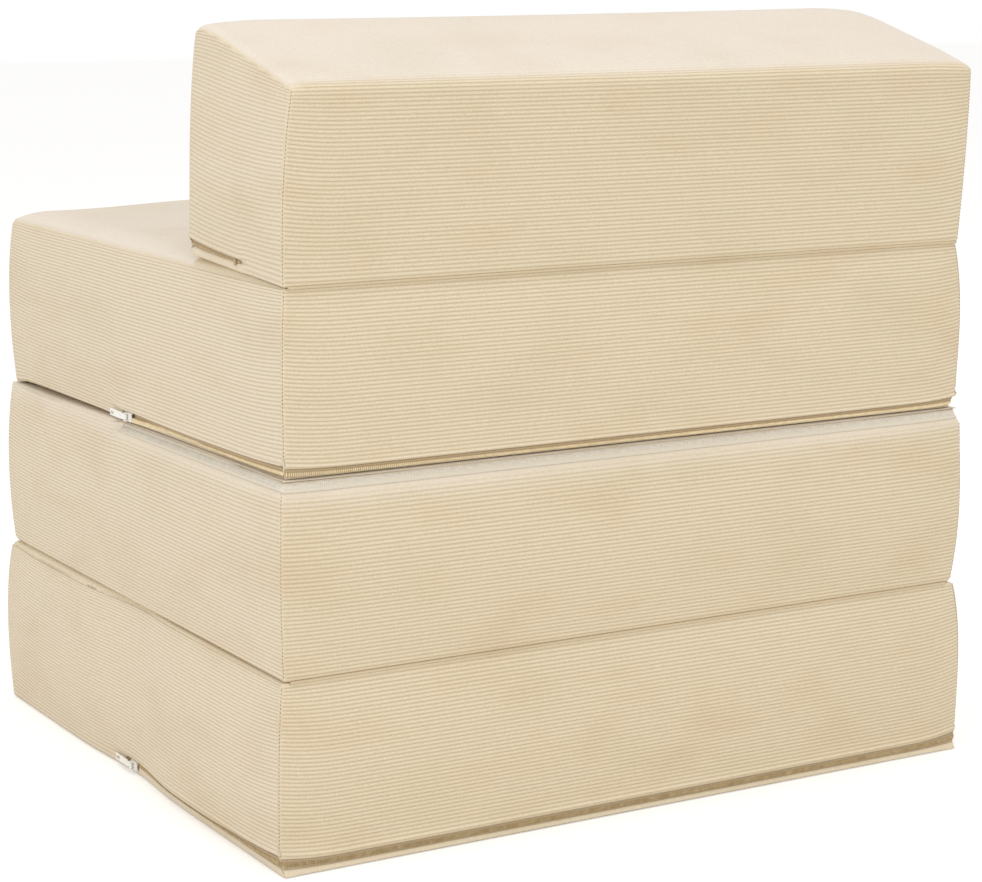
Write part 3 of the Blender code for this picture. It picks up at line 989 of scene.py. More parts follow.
    def build(self, material: bpy.types.Material) -> bpy.types.Object:
        """Makes the closed cushion, with its ribs as geometry.

        Args:
            material: The cover's fabric.

        Returns:
            The cushion.
        """
        x = (self.spacing(BED_WIDTH) - 0.5) * BED_WIDTH
        inset = HALF_WIDTH - np.abs(x)
        blocks, rises, holds, nap_and_sheen_blocks, stations = [], [], [], [], []
        for panel in range(4):
            shares, heights = self.rib_shares(self.rows(panel))
            points, hold = self.wrap(panel, shares, x)
            nap_and_sheen = 0 if panel in UPRIGHT else self.level_nap_and_sheen(panel, shares, inset, points[..., 1])
            blocks.append(points)
            rises.append(heights[:, None] * hold)
            holds.append(hold)
            nap_and_sheen_blocks.append(nap_and_sheen + self.wear(points))
            stations.append(panel + shares)
        rise, nap_and_sheen = np.concatenate(rises), np.concatenate(nap_and_sheen_blocks)
        loop = self.settle(np.concatenate(blocks))
        height = RIB_HEIGHT * (1 - BRUSHED_SHARE * nap_and_sheen)
        loop = loop + self.normals(loop, True) * (rise * height)[..., None]
        grid = np.arange(nap_and_sheen.size).reshape(nap_and_sheen.shape)
        points = [loop.reshape(-1, 3)]
        shades = [self.shade(rise, np.concatenate(holds)).ravel()]
        nap_and_sheen_lists = [nap_and_sheen.ravel()]
        faces = [quads(np.vstack((grid, grid[:1])))]
        for side in (-1, 1):
            offset = sum(len(block) for block in points)
            made = self.build_side(side, offset, grid, np.concatenate(stations))
            points.append(made[0])
            shades.append(made[1])
            nap_and_sheen_lists.append(made[2])
            faces.extend(made[3])
        thing = mesh_object(self.name + "_cushion", np.concatenate(points), faces, material)
        add_values(thing, "rib", np.concatenate(shades))
        add_values(thing, "nap_and_sheen", np.concatenate(nap_and_sheen_lists))
        return thing

    @staticmethod
    def shade(rise: np.ndarray, hold: np.ndarray) -> np.ndarray:
        """0 in a groove and 1 on a rib, and near 1 where the fabric has no ribs; the material paints shade
        into the grooves by it.
        """
        return rise + (1 - hold) * 0.8

    @staticmethod
    def normals(grid: np.ndarray, closed: bool) -> np.ndarray:
        """Works out the normals of a grid of points.

        Args:
            grid: The points.
            closed: Whether the last row meets the first.

        Returns:
            A unit normal for each point.
        """
        padded = np.concatenate((grid[-1:], grid, grid[:1])) if closed else grid
        down = np.gradient(padded, axis=0)
        down = down[1:-1] if closed else down
        return unit(np.cross(np.gradient(grid, axis=1), down))

    def settle(self, points: np.ndarray) -> np.ndarray:
        """Moves the points where the stacked foam gives, spreads or leans.

        Args:
            points: Points of the cushion as it was sewn.

        Returns:
            The points as they lie in the stack.
        """
        moved = points.copy()
        if self.lifts:
            moved[..., 2] += np.max([lift.shift(points) for lift in self.lifts], axis=0)
        x, y, z = points[..., 0], points[..., 1], points[..., 2]
        bottom = self.seams[0][1]
        height = (z - bottom) / (self.seams[3][1] - bottom)
        moved[..., 0] += self.spread * (1 - self.beside_slider(y, x)) * x / HALF_WIDTH
        moved[..., 1] += self.spread * np.clip(y / HALF_DEPTH, -1, 0)
        moved[..., 1] += self.back_spread * np.clip(y / HALF_DEPTH, 0, 1)
        low = np.clip(1 - (z - bottom) / TOE_HEIGHT, 0, 1)
        moved[..., 1] += self.toe * low**2 * smooth((y - TOE_START) / TOE_REACH)
        left = np.clip(x / HALF_WIDTH, -1, 0)
        moved[..., 0] += self.left_spread * left * smooth((y - LEFT_START) / LEFT_REACH)
        near, far = self.rise
        moved[..., 2] += height * (near + (far - near) * np.clip(0.5 - x / BED_WIDTH, 0, 1) ** 2)
        moved[..., 0] -= self.taper * height * x / HALF_WIDTH
        for side, end, depth in self.sags:
            corner = self.seams[2 if end > 0 else 3][0]
            across = np.clip(1 - (HALF_WIDTH - side * x) / SAG_REACH, 0, 1)
            along = np.clip(1 - np.abs(y - corner) / SAG_REACH, 0, 1)
            moved[..., 2] -= depth * (across * along) ** 1.5 * np.clip(height, 0, 1) ** 3
        return moved

    def build_side(self, side: int, offset: int, grid: np.ndarray, stations: np.ndarray) -> tuple:
        """Makes a side panel, and the strip that joins it to the seam.

        Args:
            side: 1 or -1.
            offset: The number of the first vertex.
            grid: The vertex numbers of the long panel.
            stations: The place of each of its rows, from 0 to 4 round the block.

        Returns:
            The vertices, their shades, their shares of flattened pile and painted sheen, and the faces.
        """
        depth = self.panels[0].length
        height = min(self.panels[end].length for end in UPRIGHT)
        border = 2.2 * MM
        if self.rib_cut:
            back = np.linspace(0, 1, round(depth / (2.4 * MM)))
            up = np.linspace(0, 1, 5 * self.rows(Side.FRONT))
        else:
            back = self.spacing(depth)
            up, heights = self.rib_shares(self.rows(Side.BACK))
            up, heights = np.append(up, 1), np.append(heights, 0)[:, None]
        back = border / depth + back * (1 - 2 * border / depth)
        up = border / height + up * (1 - 2 * border / height)
        if self.rib_cut:
            heights = self.cut_ribs(back, up)
        points, hold = self.side(side, back, up[:, None])
        # The side panels take a little painted sheen, and more below a worn top edge
        nap_and_sheen = np.maximum(SIDE_NAP_AND_SHEEN, self.wear(points))
        points = self.settle(points)
        rise = heights * hold
        normal = side * self.normals(points, False)
        points = points + normal * (rise * RIB_HEIGHT * (1 - BRUSHED_SHARE * (nap_and_sheen - SIDE_NAP_AND_SHEEN)))[..., None]
        numbers = offset + np.arange(rise.size).reshape(rise.shape)
        faces = [quads(numbers) if side < 0 else quads(numbers)[:, ::-1]]
        tall, wide = rise.shape[0] - 1, rise.shape[1] - 1
        counts = enumerate((wide, tall, wide, tall))
        shares = [number + np.linspace(0, 1, count, False) for number, count in counts]
        edge = grid[:, -1] if side > 0 else grid[:, 0]
        strip = self.stitch(edge, stations, rim(numbers), np.concatenate(shares))
        faces.append(strip if side > 0 else strip[:, ::-1])
        return points.reshape(-1, 3), self.shade(rise, hold).ravel(), nap_and_sheen.ravel(), faces

    @staticmethod
    def stitch(
        outer: np.ndarray, outer_marks: np.ndarray, inner: np.ndarray, inner_marks: np.ndarray
    ) -> np.ndarray:
        """Joins two closed rings of vertices with triangles.

        Args:
            outer: The vertex numbers of the outer ring.
            outer_marks: The place of each, from 0 to 4 round the block.
            inner: The vertex numbers of the inner ring.
            inner_marks: The place of each.

        Returns:
            The triangles.
        """
        i = j = 0
        triangles = []
        while i < len(outer) or j < len(inner):
            next_outer = outer_marks[i + 1] if i + 1 < len(outer) else 4 + (i + 1 > len(outer))
            next_inner = inner_marks[j + 1] if j + 1 < len(inner) else 4 + (j + 1 > len(inner))
            a, b = outer[i % len(outer)], inner[j % len(inner)]
            if j >= len(inner) or (i < len(outer) and next_outer <= next_inner):
                i += 1
                triangles.append((a, outer[i % len(outer)], b))
            else:
                j += 1
                triangles.append((a, inner[j % len(inner)], b))
        return np.array(triangles)


@dataclass
class ZipClosure:
    """A cushion's zip: a woven tape that fills the cover's opening, and a nylon coil along it."""

    cushion: Cushion
    tape_margin: float = 0.6 * MM
    tape_clearance: float = 0.3 * MM
    tape_thickness: float = 0.9 * MM
    tape_rows: int = 7
    step: float = 4 * MM
    turn: float = 3 * MM
    tooth_pitch: float = 1.25 * MM
    tooth_size: tuple[float, float, float] = (4.6 * MM, 1.05 * MM, 1.5 * MM)
    tooth_slant: float = 0.22
    drift_start: float = 10 * MM
    drift_reach: float = 320 * MM

    def outward(self, path: np.ndarray) -> np.ndarray:
        """Works out which way is out of the cushion along the zip.

        Args:
            path: Rows of points along the zip.

        Returns:
            A unit normal for each point.
        """
        normal = self.cushion.normals(path, False)
        middle = normal[path.shape[0] // 2, path.shape[1] // 2, 1]
        return normal * self.cushion.zip_facing * math.copysign(1, middle)

    def build_tape(self, material: bpy.types.Material) -> bpy.types.Object:
        """Makes the woven tape, a closed strip on the floor of the opening.

        Args:
            material: The tape's finish.

        Returns:
            The tape.
        """
        low, high = self.cushion.zip_lip, self.cushion.zip_lip + self.cushion.zip_opening
        distances = np.linspace(low + self.tape_margin, high - self.tape_margin, self.tape_rows)
        path = self.cushion.zip_path(distances, self.step, self.turn)
        normal = self.outward(path)
        inner = path + normal * self.tape_clearance
        outer = inner + normal * self.tape_thickness
        points, faces = closed_sheet(outer, inner)
        return mesh_object(self.cushion.name + "_zip_tape", points, faces, material)

    def build_coil(self, material: bpy.types.Material) -> bpy.types.Object:
        """Makes the nylon coil's turns, one closed tooth for each.

        Args:
            material: The coil's finish.

        Returns:
            The coil.
        """
        beside = np.array((-0.5, 0, 0.5)) * MM
        path = self.cushion.zip_path(self.cushion.zip_centre + beside, self.step, self.turn, False)
        if self.cushion.coil_drift:
            place = self.cushion.zip_centre + self.cushion.coil_drift
            drifted = self.cushion.zip_path(place + beside, self.step, self.turn, False)
            away = np.clip((path[1, :, 1] - SLIDER_PLACE - self.drift_start) / self.drift_reach, 0, 1)
            away = away[None, :, None]
            path = path * (1 - away) + drifted * away
        marks = march(path[1], self.tooth_pitch)
        normal = unit(between(self.outward(path)[1], marks))
        across = unit(between(path[2] - path[0], marks))
        along = unit(np.cross(across, normal))
        leaning = unit(across + self.tooth_slant * along)
        height = self.tape_clearance + self.tape_thickness + self.tooth_size[2] * 0.3
        centres = between(path[1], marks) + normal * height
        axes = np.stack((leaning, np.cross(normal, leaning), normal), 1)
        points, faces = spindles(centres, axes, self.tooth_size, 6)
        return mesh_object(self.cushion.name + "_zip_coil", points, faces, material)


@dataclass
class SeamThread:
    """The stitches along both side seams of a cushion."""

    cushion: Cushion
    pitch: float = 3.3 * MM
    stitch: tuple[float, float, float] = (2.1 * MM, 0.65 * MM, 0.65 * MM)
    proud: float = 0.25 * MM
    sunk: float = 1.1 * MM
    marks_per_panel: int = 160

    def build(self, material: bpy.types.Material) -> bpy.types.Object:
        """Makes one closed spindle for each stitch, in the dip between the panels.

        Args:
            material: The thread.

        Returns:
            The stitches, as one object.
        """
        shares = (np.arange(self.marks_per_panel) + 0.5) / self.marks_per_panel
        blocks, faces, offset = [], [[], []], 0
        for side in (1, -1):
            x = np.array([side * HALF_WIDTH])
            rings = [self.cushion.wrap(panel, shares, x)[0][:, 0] for panel in range(4)]
            ring = self.cushion.settle(np.concatenate(rings)[:, None])[:, 0]
            ring = np.concatenate((ring, ring[:1]))
            centre = ring.mean(axis=0)
            marks = march(ring, self.pitch)
            places = between(ring, marks)
            along = unit(between(np.gradient(ring, axis=0), marks))
            out = unit(np.array((side, 0, 0)) + unit(places - centre) * np.array((0, 1, 1)))
            out = unit(out - along * np.sum(out * along, axis=-1, keepdims=True))
            axes = np.stack((along, np.cross(out, along), out), 1)
            proud = self.proud - self.sunk * along[:, 1:2] ** 2
            points, parts = spindles(places + out * proud, axes, self.stitch, 4)
            for group, part in zip(faces, parts):
                group.append(part + offset)
            offset += len(points)
            blocks.append(points)
        joined = [np.concatenate(group) for group in faces]
        return mesh_object(self.cushion.name + "_seam_thread", np.concatenate(blocks), joined, material)


@dataclass
class HingeFlap:
    """A folded strip of the cover's fabric that joins two cushions along one edge.

    It is sewn to both seams. At rest it lies folded in the crease, the shape built here; unfolded, the real
    strip opens as an arch.
    """

    name: str
    lower: str
    upper: str
    end: int
    height: float
    half_length: float = 371 * MM
    root: float = 9 * MM
    crest: float = 1.6 * MM
    half_gap: float = 0.8 * MM
    thickness: float = 0.5 * MM
    fold_steps: int = 24
    columns: int = 180

    def section(self, offset: float) -> np.ndarray:
        """Draws the folded strip's side view.

        Args:
            offset: How far the line lies outside the strip's middle line.

        Returns:
            The points of the line in the YZ plane.
        """
        radius = self.half_gap + offset
        angles = np.linspace(-math.pi / 2, math.pi / 2, self.fold_steps)
        reach = np.linspace(-self.root, 0, 5)[:-1]
        past = HALF_DEPTH + self.crest - self.half_gap
        lower = np.stack((past + reach, -radius + 0 * reach), -1)
        fold = np.stack((past + radius * np.cos(angles), radius * np.sin(angles)), -1)
        upper = np.stack((past + reach[::-1], radius + 0 * reach), -1)
        return np.concatenate((lower, fold, upper))

    def build(self, material: bpy.types.Material) -> bpy.types.Object:
        """Makes the strip and bends it between the two cushions.

        Args:
            material: The cover's fabric.

        Returns:
            The strip.
        """
        x = np.linspace(-self.half_length, self.half_length, self.columns)
        grids = []
        for offset in (self.thickness / 2, -self.thickness / 2):
            section = self.section(offset)
            grid = np.empty((len(section), len(x), 3))
            grid[..., 0] = x[None, :]
            grid[..., 1] = self.end * section[:, :1]
            grid[..., 2] = self.height + section[:, 1:]
            grids.append(grid)
        points, faces = closed_sheet(*grids)
        flap = mesh_object(self.name + "_flap", points, faces, material)
        for layer, value in (("rib", 0.3), ("nap_and_sheen", 0)):
            add_values(flap, layer, np.full(len(points), value))
        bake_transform(flap)
        return flap


@dataclass(frozen=True)
class RibbedCorduroy:
    """Cotton corduroy, woven with raised ribs whose pile is cut and brushed.

    That gives the eye soft pale ribs with tan grooves between them, darker partly of their own and partly by
    painted shade, a dull pile with no shine, a paler painted sheen where level, and faint clouds of peach and
    green where the pile lies another way.
    """

    rib: str = "E8DAC0"
    # The grooves' tan is partly the cut pile's own tone and partly painted shade in the grooves
    groove: str = "C8B592"
    # The level panels' paler, greyer tones are painted sheen and painted light from above
    painted_sheen: str = "E8DDCF"
    painted_sheen_groove: str = "E2D5C2"
    roughness: float = 0.92
    sheen: float = 0.12
    tuft: float = 1.6 * MM
    # Each cloud's tint, how many lie in a metre, how strong it is and which noise it takes
    clouds: tuple[tuple[str, float, float, float], ...] = (
        ("EBCFB4", 16.0, 0.16, 0.0),
        ("D9D8BA", 12.0, 0.13, 7.3),
    )

    def material(self) -> bpy.types.Material:
        """Makes the fabric's material, which reads the ribs and the share of painted sheen from the mesh.

        Returns:
            The material: cream ribs over tan grooves upright, the grooves deepened with painted shade, and a
                paler painted sheen where level.
        """
        settings = {
            "Roughness": self.roughness,
            "Sheen Weight": self.sheen,
            "Sheen Roughness": 0.5,
            "Specular IOR Level": 0.2,
        }
        material, tree, shader = new_material("ribbed_corduroy", settings)
        rib = add_node(tree, "ShaderNodeAttribute", attribute_name="rib").outputs["Fac"]
        nap_and_sheen = add_node(tree, "ShaderNodeAttribute", attribute_name="nap_and_sheen").outputs["Fac"]
        # Painted shade darkens the grooves, and on level panels a paler painted sheen takes over
        upright = mix(tree, rib, linear(self.groove), linear(self.rib))
        level = mix(tree, rib, linear(self.painted_sheen_groove), linear(self.painted_sheen))
        colour = mix(tree, nap_and_sheen, upright, level)
        stretch = {"Vector": object_place(tree), "Scale": (0.6, 0.6, 1.3)}
        stretched = add_node(tree, "ShaderNodeMapping", stretch).outputs[0]
        for tint, scale, amount, shift in self.clouds:
            inputs = {"Vector": stretched, "W": shift, "Scale": scale, "Detail": 2.0}
            cloud = add_node(tree, "ShaderNodeTexNoise", inputs, noise_dimensions="4D").outputs[0]
            patch = ramp(tree, cloud, 0.5, 0.72, 0.0, amount)
            colour = mix(tree, patch, colour, linear(tint), "MULTIPLY")
        pile = ramp(tree, noise(tree, self.tuft, 3.0), 0.3, 0.7, 0.93, 1.05)
        colour = mix(tree, 1.0, colour, pile, "MULTIPLY")
        tree.links.new(colour, shader.inputs["Base Color"])
        return material


@dataclass(frozen=True)
class WovenTape:
    """Polyester zip tape, woven in a fine twill, that shows matt with faint upright threads."""

    name: str
    colour: str
    valley: str
    roughness: float = 0.85
    thread: float = 0.9 * MM

    def material(self) -> bpy.types.Material:
        """Makes the tape's material, its threads drawn at twice their width so that they show.

        Returns:
            The material, a matt cloth with slightly darker valleys between its threads.
        """
        settings = {"Roughness": self.roughness, "Specular IOR Level": 0.3}
        material, tree, shader = new_material(self.name, settings)
        stretch = {"Vector": object_place(tree), "Scale": (1.0, 1.0, 0.15)}
        twill = {
            "Vector": add_node(tree, "ShaderNodeMapping", stretch).outputs[0],
            "Scale": math.tau / (20 * self.thread),
            "Distortion": 0.6,
            "Detail": 2.0,
            "Detail Scale": 3.0,
        }
        wave = add_node(tree, "ShaderNodeTexWave", twill, bands_direction="DIAGONAL").outputs["Fac"]
        colour = mix(tree, wave, linear(self.valley), linear(self.colour))
        tree.links.new(colour, shader.inputs["Base Color"])
        return material


@dataclass(frozen=True)
class Filament:
    """Drawn thread or filament, such as a zip's nylon coil or the stitches, a little uneven in tone."""

    name: str
    colour: str
    shadow: str
    roughness: float = 0.5
    sheen: float = 0.0
    grain: float = 6 * MM

    def material(self) -> bpy.types.Material:
        """Makes the filament's material.

        Returns:
            The material: nylon has a soft gleam on each turn, and cotton thread is matt.
        """
        settings = {"Roughness": self.roughness, "Sheen Weight": self.sheen, "Specular IOR Level": 0.4}
        material, tree, shader = new_material(self.name, settings)
        patch = ramp(tree, noise(tree, self.grain, 2.0), 0.35, 0.65, 0.0, 1.0)
        colour = mix(tree, patch, linear(self.shadow), linear(self.colour))
        tree.links.new(colour, shader.inputs["Base Color"])
        return material


@dataclass(frozen=True)
class EnamelledZinc:
    """Die-cast zinc under gloss enamel, baked on: smooth and off-white, with soft clear highlights."""

    colour: str = "EFEDE6"
    worn: str = "D9D5CA"
    roughness: tuple[float, float] = (0.22, 0.34)
    speck: float = 4 * MM

    def material(self) -> bpy.types.Material:
        """Makes the enamel's material.

        Returns:
            The material, glossy with duller and greyer specks where fingers have worn it.
        """
        settings = {"Coat Weight": 0.4, "Coat Roughness": 0.1}
        material, tree, shader = new_material("enamelled_zinc", settings)
        specks = noise(tree, self.speck, 3.0)
        gloss = ramp(tree, specks, 0.3, 0.7, *self.roughness)
        wear = ramp(tree, specks, 0.55, 0.75, 0.0, 1.0)
        tree.links.new(gloss, shader.inputs["Roughness"])
        tree.links.new(mix(tree, wear, linear(self.colour), linear(self.worn)), shader.inputs["Base Color"])
        return material


@dataclass(frozen=True)
class Studio:
    """A pale floor, a white surround, soft lamps and the camera at the photograph's view."""

    target: tuple[float, float, float] = (-0.0087, -0.0075, 0.41093)
    azimuth: float = 149.496
    elevation: float = 8.426
    roll: float = 0.193
    distance: float = 2.7455
    focal_pixels: float = 2637.7
    centre: tuple[float, float] = (472.4, 335.6)
    image: tuple[int, int] = (982, 882)
    floor_glow: float = 0.3
    surround: float = 0.75
    lamp_size: float = 3.0
    lamp_aim: tuple[float, float, float] = (0, 0, 0.35)
    # Each lamp's place and its watts
    lamps: tuple[tuple[str, tuple[float, float, float], float], ...] = (
        ("top_softbox", (0.3, 0.6, 4.2), 35),
        ("rear_softbox", (0.5, 4.2, 1.8), 35),
        ("side_softbox", (4.2, 0.6, 1.7), 33),
    )

    def camera(self) -> None:
        """Sets the camera where the photograph was taken from."""
        width, height = self.image
        data = bpy.data.cameras.new("camera")
        data.sensor_width = 36.0
        data.lens = self.focal_pixels / width * data.sensor_width
        data.shift_x = (width / 2 - self.centre[0]) / width
        data.shift_y = (self.centre[1] - height / 2) / width
        thing = bpy.data.objects.new("camera", data)
        bpy.context.scene.collection.objects.link(thing)
        a, e = math.radians(self.azimuth), math.radians(self.elevation)
        back = Vector((math.sin(a) * math.cos(e), -math.cos(a) * math.cos(e), math.sin(e)))
        thing.location = Vector(self.target) + back * self.distance
        turn = (-back).to_track_quat("-Z", "Y").to_matrix().to_4x4()
        thing.rotation_euler = turn.to_euler()
        thing.rotation_euler.rotate_axis("Z", math.radians(self.roll))
        bpy.context.scene.camera = thing

    def floor(self) -> None:
        """Lays a pale floor that keeps the object's shadow and glows only to the eye."""
        settings = {"Base Color": linear("F4F3F1"), "Roughness": 0.9, "Specular IOR Level": 0.0}
        material, tree, shader = new_material("white_floor", settings)
        glow = add_node(tree, "ShaderNodeEmission", {0: (1, 1, 1, 1), 1: self.floor_glow})
        lit = add_node(tree, "ShaderNodeAddShader", {0: shader.outputs[0], 1: glow.outputs[0]})
        ways = {0: seen_directly(tree), 1: shader.outputs[0], 2: lit.outputs[0]}
        surface = add_node(tree, "ShaderNodeMixShader", ways)
        tree.links.new(surface.outputs[0], tree.nodes["Material Output"].inputs[0])
        bpy.ops.mesh.primitive_plane_add(size=30, location=(0, 0, -RIB_HEIGHT))
        plane = bpy.context.object
        plane.name = "floor"
        plane.data.materials.append(material)

    def light(self) -> None:
        """Adds a white surround and soft lamps."""
        world = bpy.data.worlds.new("surround")
        bpy.context.scene.world = world
        world.use_nodes = True
        tree = world.node_tree
        plain = tree.nodes["Background"]
        plain.inputs[1].default_value = self.surround
        plain.inputs[0].default_value = (1, 1, 1, 1)
        white = add_node(tree, "ShaderNodeBackground", {0: (1, 1, 1, 1), 1: 1.0})
        ways = {0: seen_directly(tree), 1: plain.outputs[0], 2: white.outputs[0]}
        blend = add_node(tree, "ShaderNodeMixShader", ways)
        output = next(node for node in tree.nodes if node.type == "OUTPUT_WORLD")
        tree.links.new(blend.outputs[0], output.inputs[0])
        for name, place, watts in self.lamps:
            self.lamp(name, place, watts)

    def lamp(self, name: str, place: tuple[float, float, float], watts: float) -> None:
        """Adds a square lamp that faces the object.

        Args:
            name: The lamp's name.
            place: Where it hangs.
            watts: Its power.
        """
        data = bpy.data.lights.new(name, "AREA")
        data.size = self.lamp_size
        data.energy = watts
        thing = bpy.data.objects.new(name, data)
        bpy.context.scene.collection.objects.link(thing)
        thing.location = place
        aim = Vector(self.lamp_aim) - Vector(place)
        thing.rotation_euler = aim.to_track_quat("-Z", "Y").to_euler()


def crease_lifts(side: tuple, falloff: float, power: float) -> tuple[Lift, ...]:
    """Lifts a slab's edge along the crease between the middle and the upper slab.

    Args:
        side: How far the crease rises along the right side, at places along Y.
        falloff: How far from the crease the fabric still moves.
        power: How fast that fades.

    Returns:
        The lifts of the right side, of the left side and of the back end.
    """
    split = 2 * LAYER_HEIGHT
    far_side = ((270 * MM, 0), (316 * MM, CREASE_RISE))
    end = ((268 * MM, 0), (316 * MM, CREASE_RISE))
    return (
        Lift(side, split, falloff, power, (1,)),
        Lift(far_side, split, falloff, power, (-1,)),
        Lift(end, split, falloff, power),
    )


def make_slab(name: str, layer: int, **sizes: object) -> Cushion:
    """Makes one of the three slabs, which share their outline and their swell.

    Args:
        name: Its name.
        layer: Its place in the stack, from 0 on the floor.
        sizes: The sizes that are its own.

    Returns:
        The slab.
    """
    low = layer * LAYER_HEIGHT + (LAYER_GAP / 2 if layer else 0)
    high = (layer + 1) * LAYER_HEIGHT - LAYER_GAP / 2
    return Cushion(
        name=name,
        seams=((-HALF_DEPTH, low), (HALF_DEPTH, low), (HALF_DEPTH, high), (-HALF_DEPTH, high)),
        crowns=(-0.7 * MM, 9.3 * MM, -0.7 * MM, 6.5 * MM),
        side_crown=8.6 * MM,
        zip_start=355 * MM,
        **sizes,
    )


def make_base() -> Cushion:
    """Makes the base slab, spread by the weight on it, with its low zip tucked under the swell.

    Returns:
        The cushion.
    """
    return make_slab(
        "base",
        0,
        radii=(1.5 * MM, 1.5 * MM, 3 * MM, 6 * MM),
        zip_edge=Edge.BACK_LOW,
        zip_lip=4.5 * MM,
        zip_centre=8.5 * MM,
        zip_narrow=(7 * MM, 3 * MM),
        narrow_reach=140 * MM,
        slit=2.5,
        drops=(0.5 * MM, 2 * MM),
        top_drops=(
            (-HALF_DEPTH, 5 * MM),
            (-250 * MM, 8 * MM),
            (-120 * MM, 7 * MM),
            (40 * MM, 3 * MM),
            (150 * MM, 2 * MM),
        ),
        curl=6.5 * MM,
        spread=6.5 * MM,
        left_spread=3.5 * MM,
        toe=8.5 * MM,
        taper=2.5 * MM,
    )


def make_middle() -> Cushion:
    """Makes the middle slab, whose top edge is worn flat and paled with painted sheen over its pale zip.

    Returns:
        The cushion.
    """
    return make_slab(
        "middle",
        1,
        radii=(6 * MM, 3 * MM, 1.2 * MM, 1.2 * MM),
        zip_edge=Edge.BACK_HIGH,
        zip_lip=0.4 * MM,
        zip_centre=8.5 * MM,
        zip_opening=9.5 * MM,
        zip_depth=1.05 * MM,
        zip_narrow=(6 * MM, 5 * MM),
        coil_drift=-3 * MM,
        hem=0,
        pinch=0.5,
        chamfer=16 * MM,
        rib_fade=9 * MM,
        slider_side=-1,
        slider_run=SLIDER_RUN,
        front_drops=(1, 0),
        curl=1.8 * MM,
        worn_edge=0.8,
        spread=2 * MM,
        left_spread=3 * MM,
        lifts=crease_lifts(((-220 * MM, 0), (0, 4.5 * MM), (HALF_DEPTH, CREASE_RISE)), 90 * MM, 1.5),
    )


def make_upper() -> Cushion:
    """Makes the upper slab, the seat, with its domed top and the tall zip at its foot.

    Returns:
        The cushion.
    """
    side = (
        (-HALF_DEPTH, 0),
        (-290 * MM, 4.3 * MM),
        (-80 * MM, 5.5 * MM),
        (-40 * MM, 4.5 * MM),
        (0, 4.8 * MM),
        (HALF_DEPTH, CREASE_RISE),
    )
    return make_slab(
        "upper",
        2,
        radii=(1.2 * MM, 3 * MM, 3 * MM, 3.5 * MM),
        zip_edge=Edge.BACK_LOW,
        zip_lip=1 * MM,
        zip_centre=4.4 * MM,
        zip_opening=12.6 * MM,
        zip_depth=2.4 * MM,
        zip_narrow=(6.5 * MM, 5 * MM),
        coil_drift=3.6 * MM,
        hem=1.4 * MM,
        pinch=0.2,
        slit=2.5,
        drops=(2 * MM, 0.5 * MM),
        front_drops=(0, 1),
        seam_soft=0.1,
        pillow=(12 * MM, 17 * MM),
        top_shown=True,
        spread=-1.5 * MM,
        back_spread=-1.5 * MM,
        lifts=crease_lifts(side, 20 * MM, 1.7),
    )


def make_backrest() -> Cushion:
    """Makes the backrest, a wedge that leans back a little and sags at its top corners.

    Returns:
        The cushion.
    """
    seat = 3 * LAYER_HEIGHT
    foot = (HALF_DEPTH, seat + LAYER_GAP / 2)
    front_foot = (BACKREST_FRONT, seat + BACKREST_FRONT_LIFT)
    back_top = (HALF_DEPTH + 15.5 * MM, foot[1] + 171.5 * MM)
    front_top = (back_top[0] - 195 * MM, front_foot[1] + 213.5 * MM)
    return Cushion(
        name="backrest",
        seams=(front_foot, foot, back_top, front_top),
        radii=(2.5 * MM, 2.5 * MM, 9 * MM, 11 * MM),
        crowns=(0, -1.5 * MM, 6 * MM, 2 * MM),
        side_crown=5.5 * MM,
        zip_edge=Edge.FRONT_LOW,
        zip_lip=5.5 * MM,
        zip_start=105 * MM,
        zip_centre=8.2 * MM,
        zip_opening=5 * MM,
        zip_depth=2.6 * MM,
        zip_narrow=(7 * MM, 3 * MM),
        narrow_reach=105 * MM,
        slider_side=-1,
        slider_run=SLIDER_RUN,
        drops=(1 * MM, 3.5 * MM),
        top_shown=True,
        rib_cut=9.5 * MM,
        rise=(2.5 * MM, 8 * MM),
        taper=2.5 * MM,
        sags=((1, -1, 6 * MM), (-1, 1, 6 * MM), (-1, -1, 6 * MM)),
    )


def make_closure(cushion: Cushion) -> ZipClosure:
    """Makes a cushion's zip, with the teeth that show there.

    Args:
        cushion: The cushion.

    Returns:
        The zip.
    """
    sizes = {
        "middle": {
            "tape_margin": -0.6 * MM,
            "tooth_pitch": 2 * MM,
            "tooth_size": (5.6 * MM, 1.3 * MM, 0.8 * MM),
            "tooth_slant": 0,
        },
        "upper": {"tooth_pitch": 2 * MM, "tooth_size": (5.4 * MM, 1.6 * MM, 2.4 * MM)},
        "backrest": {"tooth_size": (2.2 * MM, 1.05 * MM, 1.2 * MM)},
    }
    return ZipClosure(cushion, **sizes.get(cushion.name, {}))


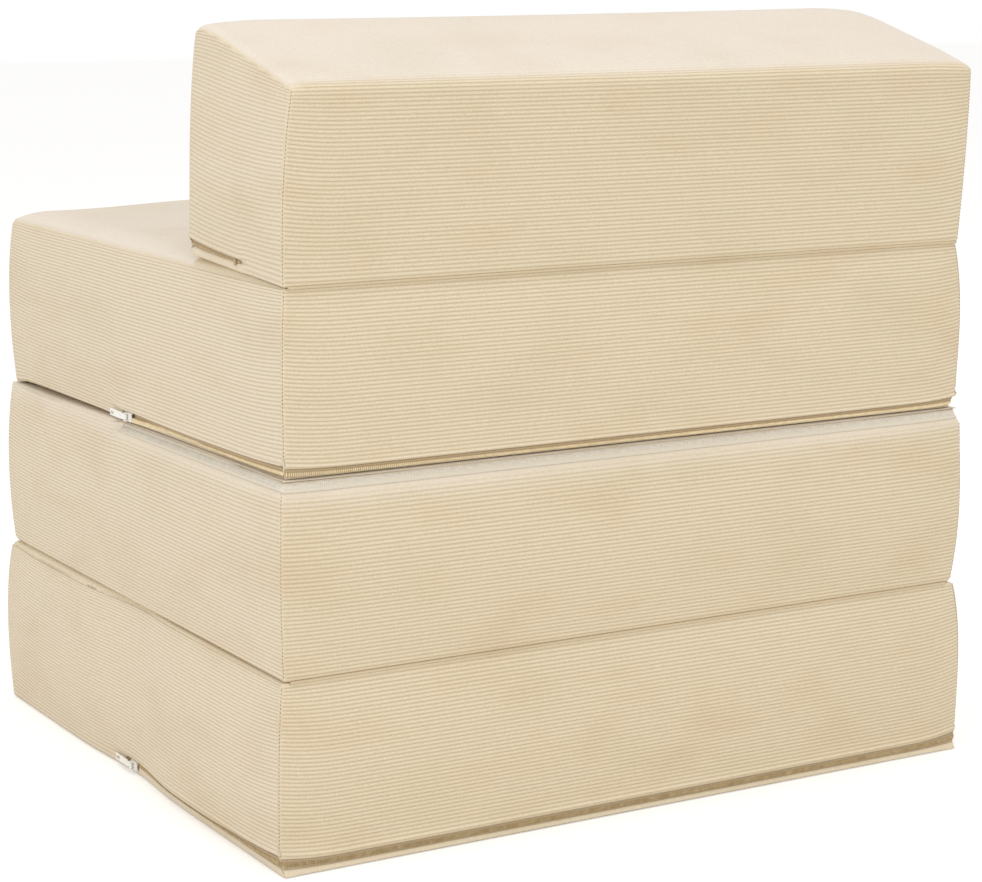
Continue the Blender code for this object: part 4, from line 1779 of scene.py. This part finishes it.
def make_flaps() -> list[HingeFlap]:
    """Makes the three fabric hinges, from the floor up.

    Returns:
        The three strips.
    """
    return [
        HingeFlap("base_middle_hinge", "base", "middle", 1, LAYER_HEIGHT),
        HingeFlap("middle_upper_hinge", "middle", "upper", -1, 2 * LAYER_HEIGHT, 361 * MM),
        HingeFlap("upper_backrest_hinge", "upper", "backrest", 1, 3 * LAYER_HEIGHT),
    ]


def dress(thing: bpy.types.Object, material: bpy.types.Material) -> None:
    """Gives a part of the frame its finish."""
    thing.data.materials.clear()
    thing.data.materials.append(material)


def main() -> None:
    """Builds every piece and reports it."""
    logging.basicConfig(level=logging.INFO, format="%(message)s")
    bpy.context.scene.view_settings.view_transform = "Standard"
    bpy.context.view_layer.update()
    studio = Studio()
    studio.camera()
    studio.floor()
    studio.light()
    fabric = RibbedCorduroy().material()
    # The beige tape is a darker copy of the zip tape: painted shade for zips that face down or lie under an
    # overhanging hem
    shaded_beige_tape = WovenTape("shaded_beige_polyester_tape", "C6B190", "A79070").material()
    pale_tape = WovenTape("pale_polyester_tape", "E8DFCD", "DBD1BD").material()
    cream_coil = Filament("cream_nylon_coil", "F4E2BE", "E8D5AE").material()
    # The beige coil is a darker copy too: painted shade for coils under a hem
    shaded_beige_coil = Filament("shaded_beige_nylon_coil", "C6B087", "AE976C").material()
    pale_coil = Filament("pale_nylon_coil", "EDE6DA", "E2DACC").material()
    # The thread's dark tan is partly its own tone and partly painted shade of the stitch holes along the seam
    thread = Filament("cotton_thread_with_hole_shade", "B08A62", "8E6846", 0.8, 0.1).material()
    enamel = EnamelledZinc().material()
    for cushion, tape, coil in (
        (make_base(), shaded_beige_tape, shaded_beige_coil),
        (make_middle(), pale_tape, pale_coil),
        (make_upper(), shaded_beige_tape, cream_coil),
        (make_backrest(), shaded_beige_tape, shaded_beige_coil),
    ):
        covering = cushion.build(fabric)
        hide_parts(cushion.name + "_cover", cushion.name + "_foam")
        closure = make_closure(cushion)
        strips = (closure.build_tape(tape), closure.build_coil(coil))
        for strip in strips:
            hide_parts(cushion.name + "_zip")
        stitches = SeamThread(cushion).build(thread)
        for thing, slot in zip((covering, *strips, stitches), ("cover", "zip", "zip", "cover")):
            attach(thing, cushion.name)
            log.info("%s: %d faces", thing.name, len(thing.data.polygons))
        # The stops take the coil's finish, which on the base and the backrest carries painted shade
        fittings = {"slider": enamel, "pull_tab": enamel, "slider_side_stop": coil, "far_side_stop": coil}
        for fitting, finish in fittings.items():
            dress(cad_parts[f"{cushion.name}_{fitting}"], finish)
    for flap in make_flaps():
        strip = flap.build(fabric)
        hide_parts(flap.name)
        log.info("%s: %d faces", strip.name, len(strip.data.polygons))


if __name__ == "__main__":
    main()
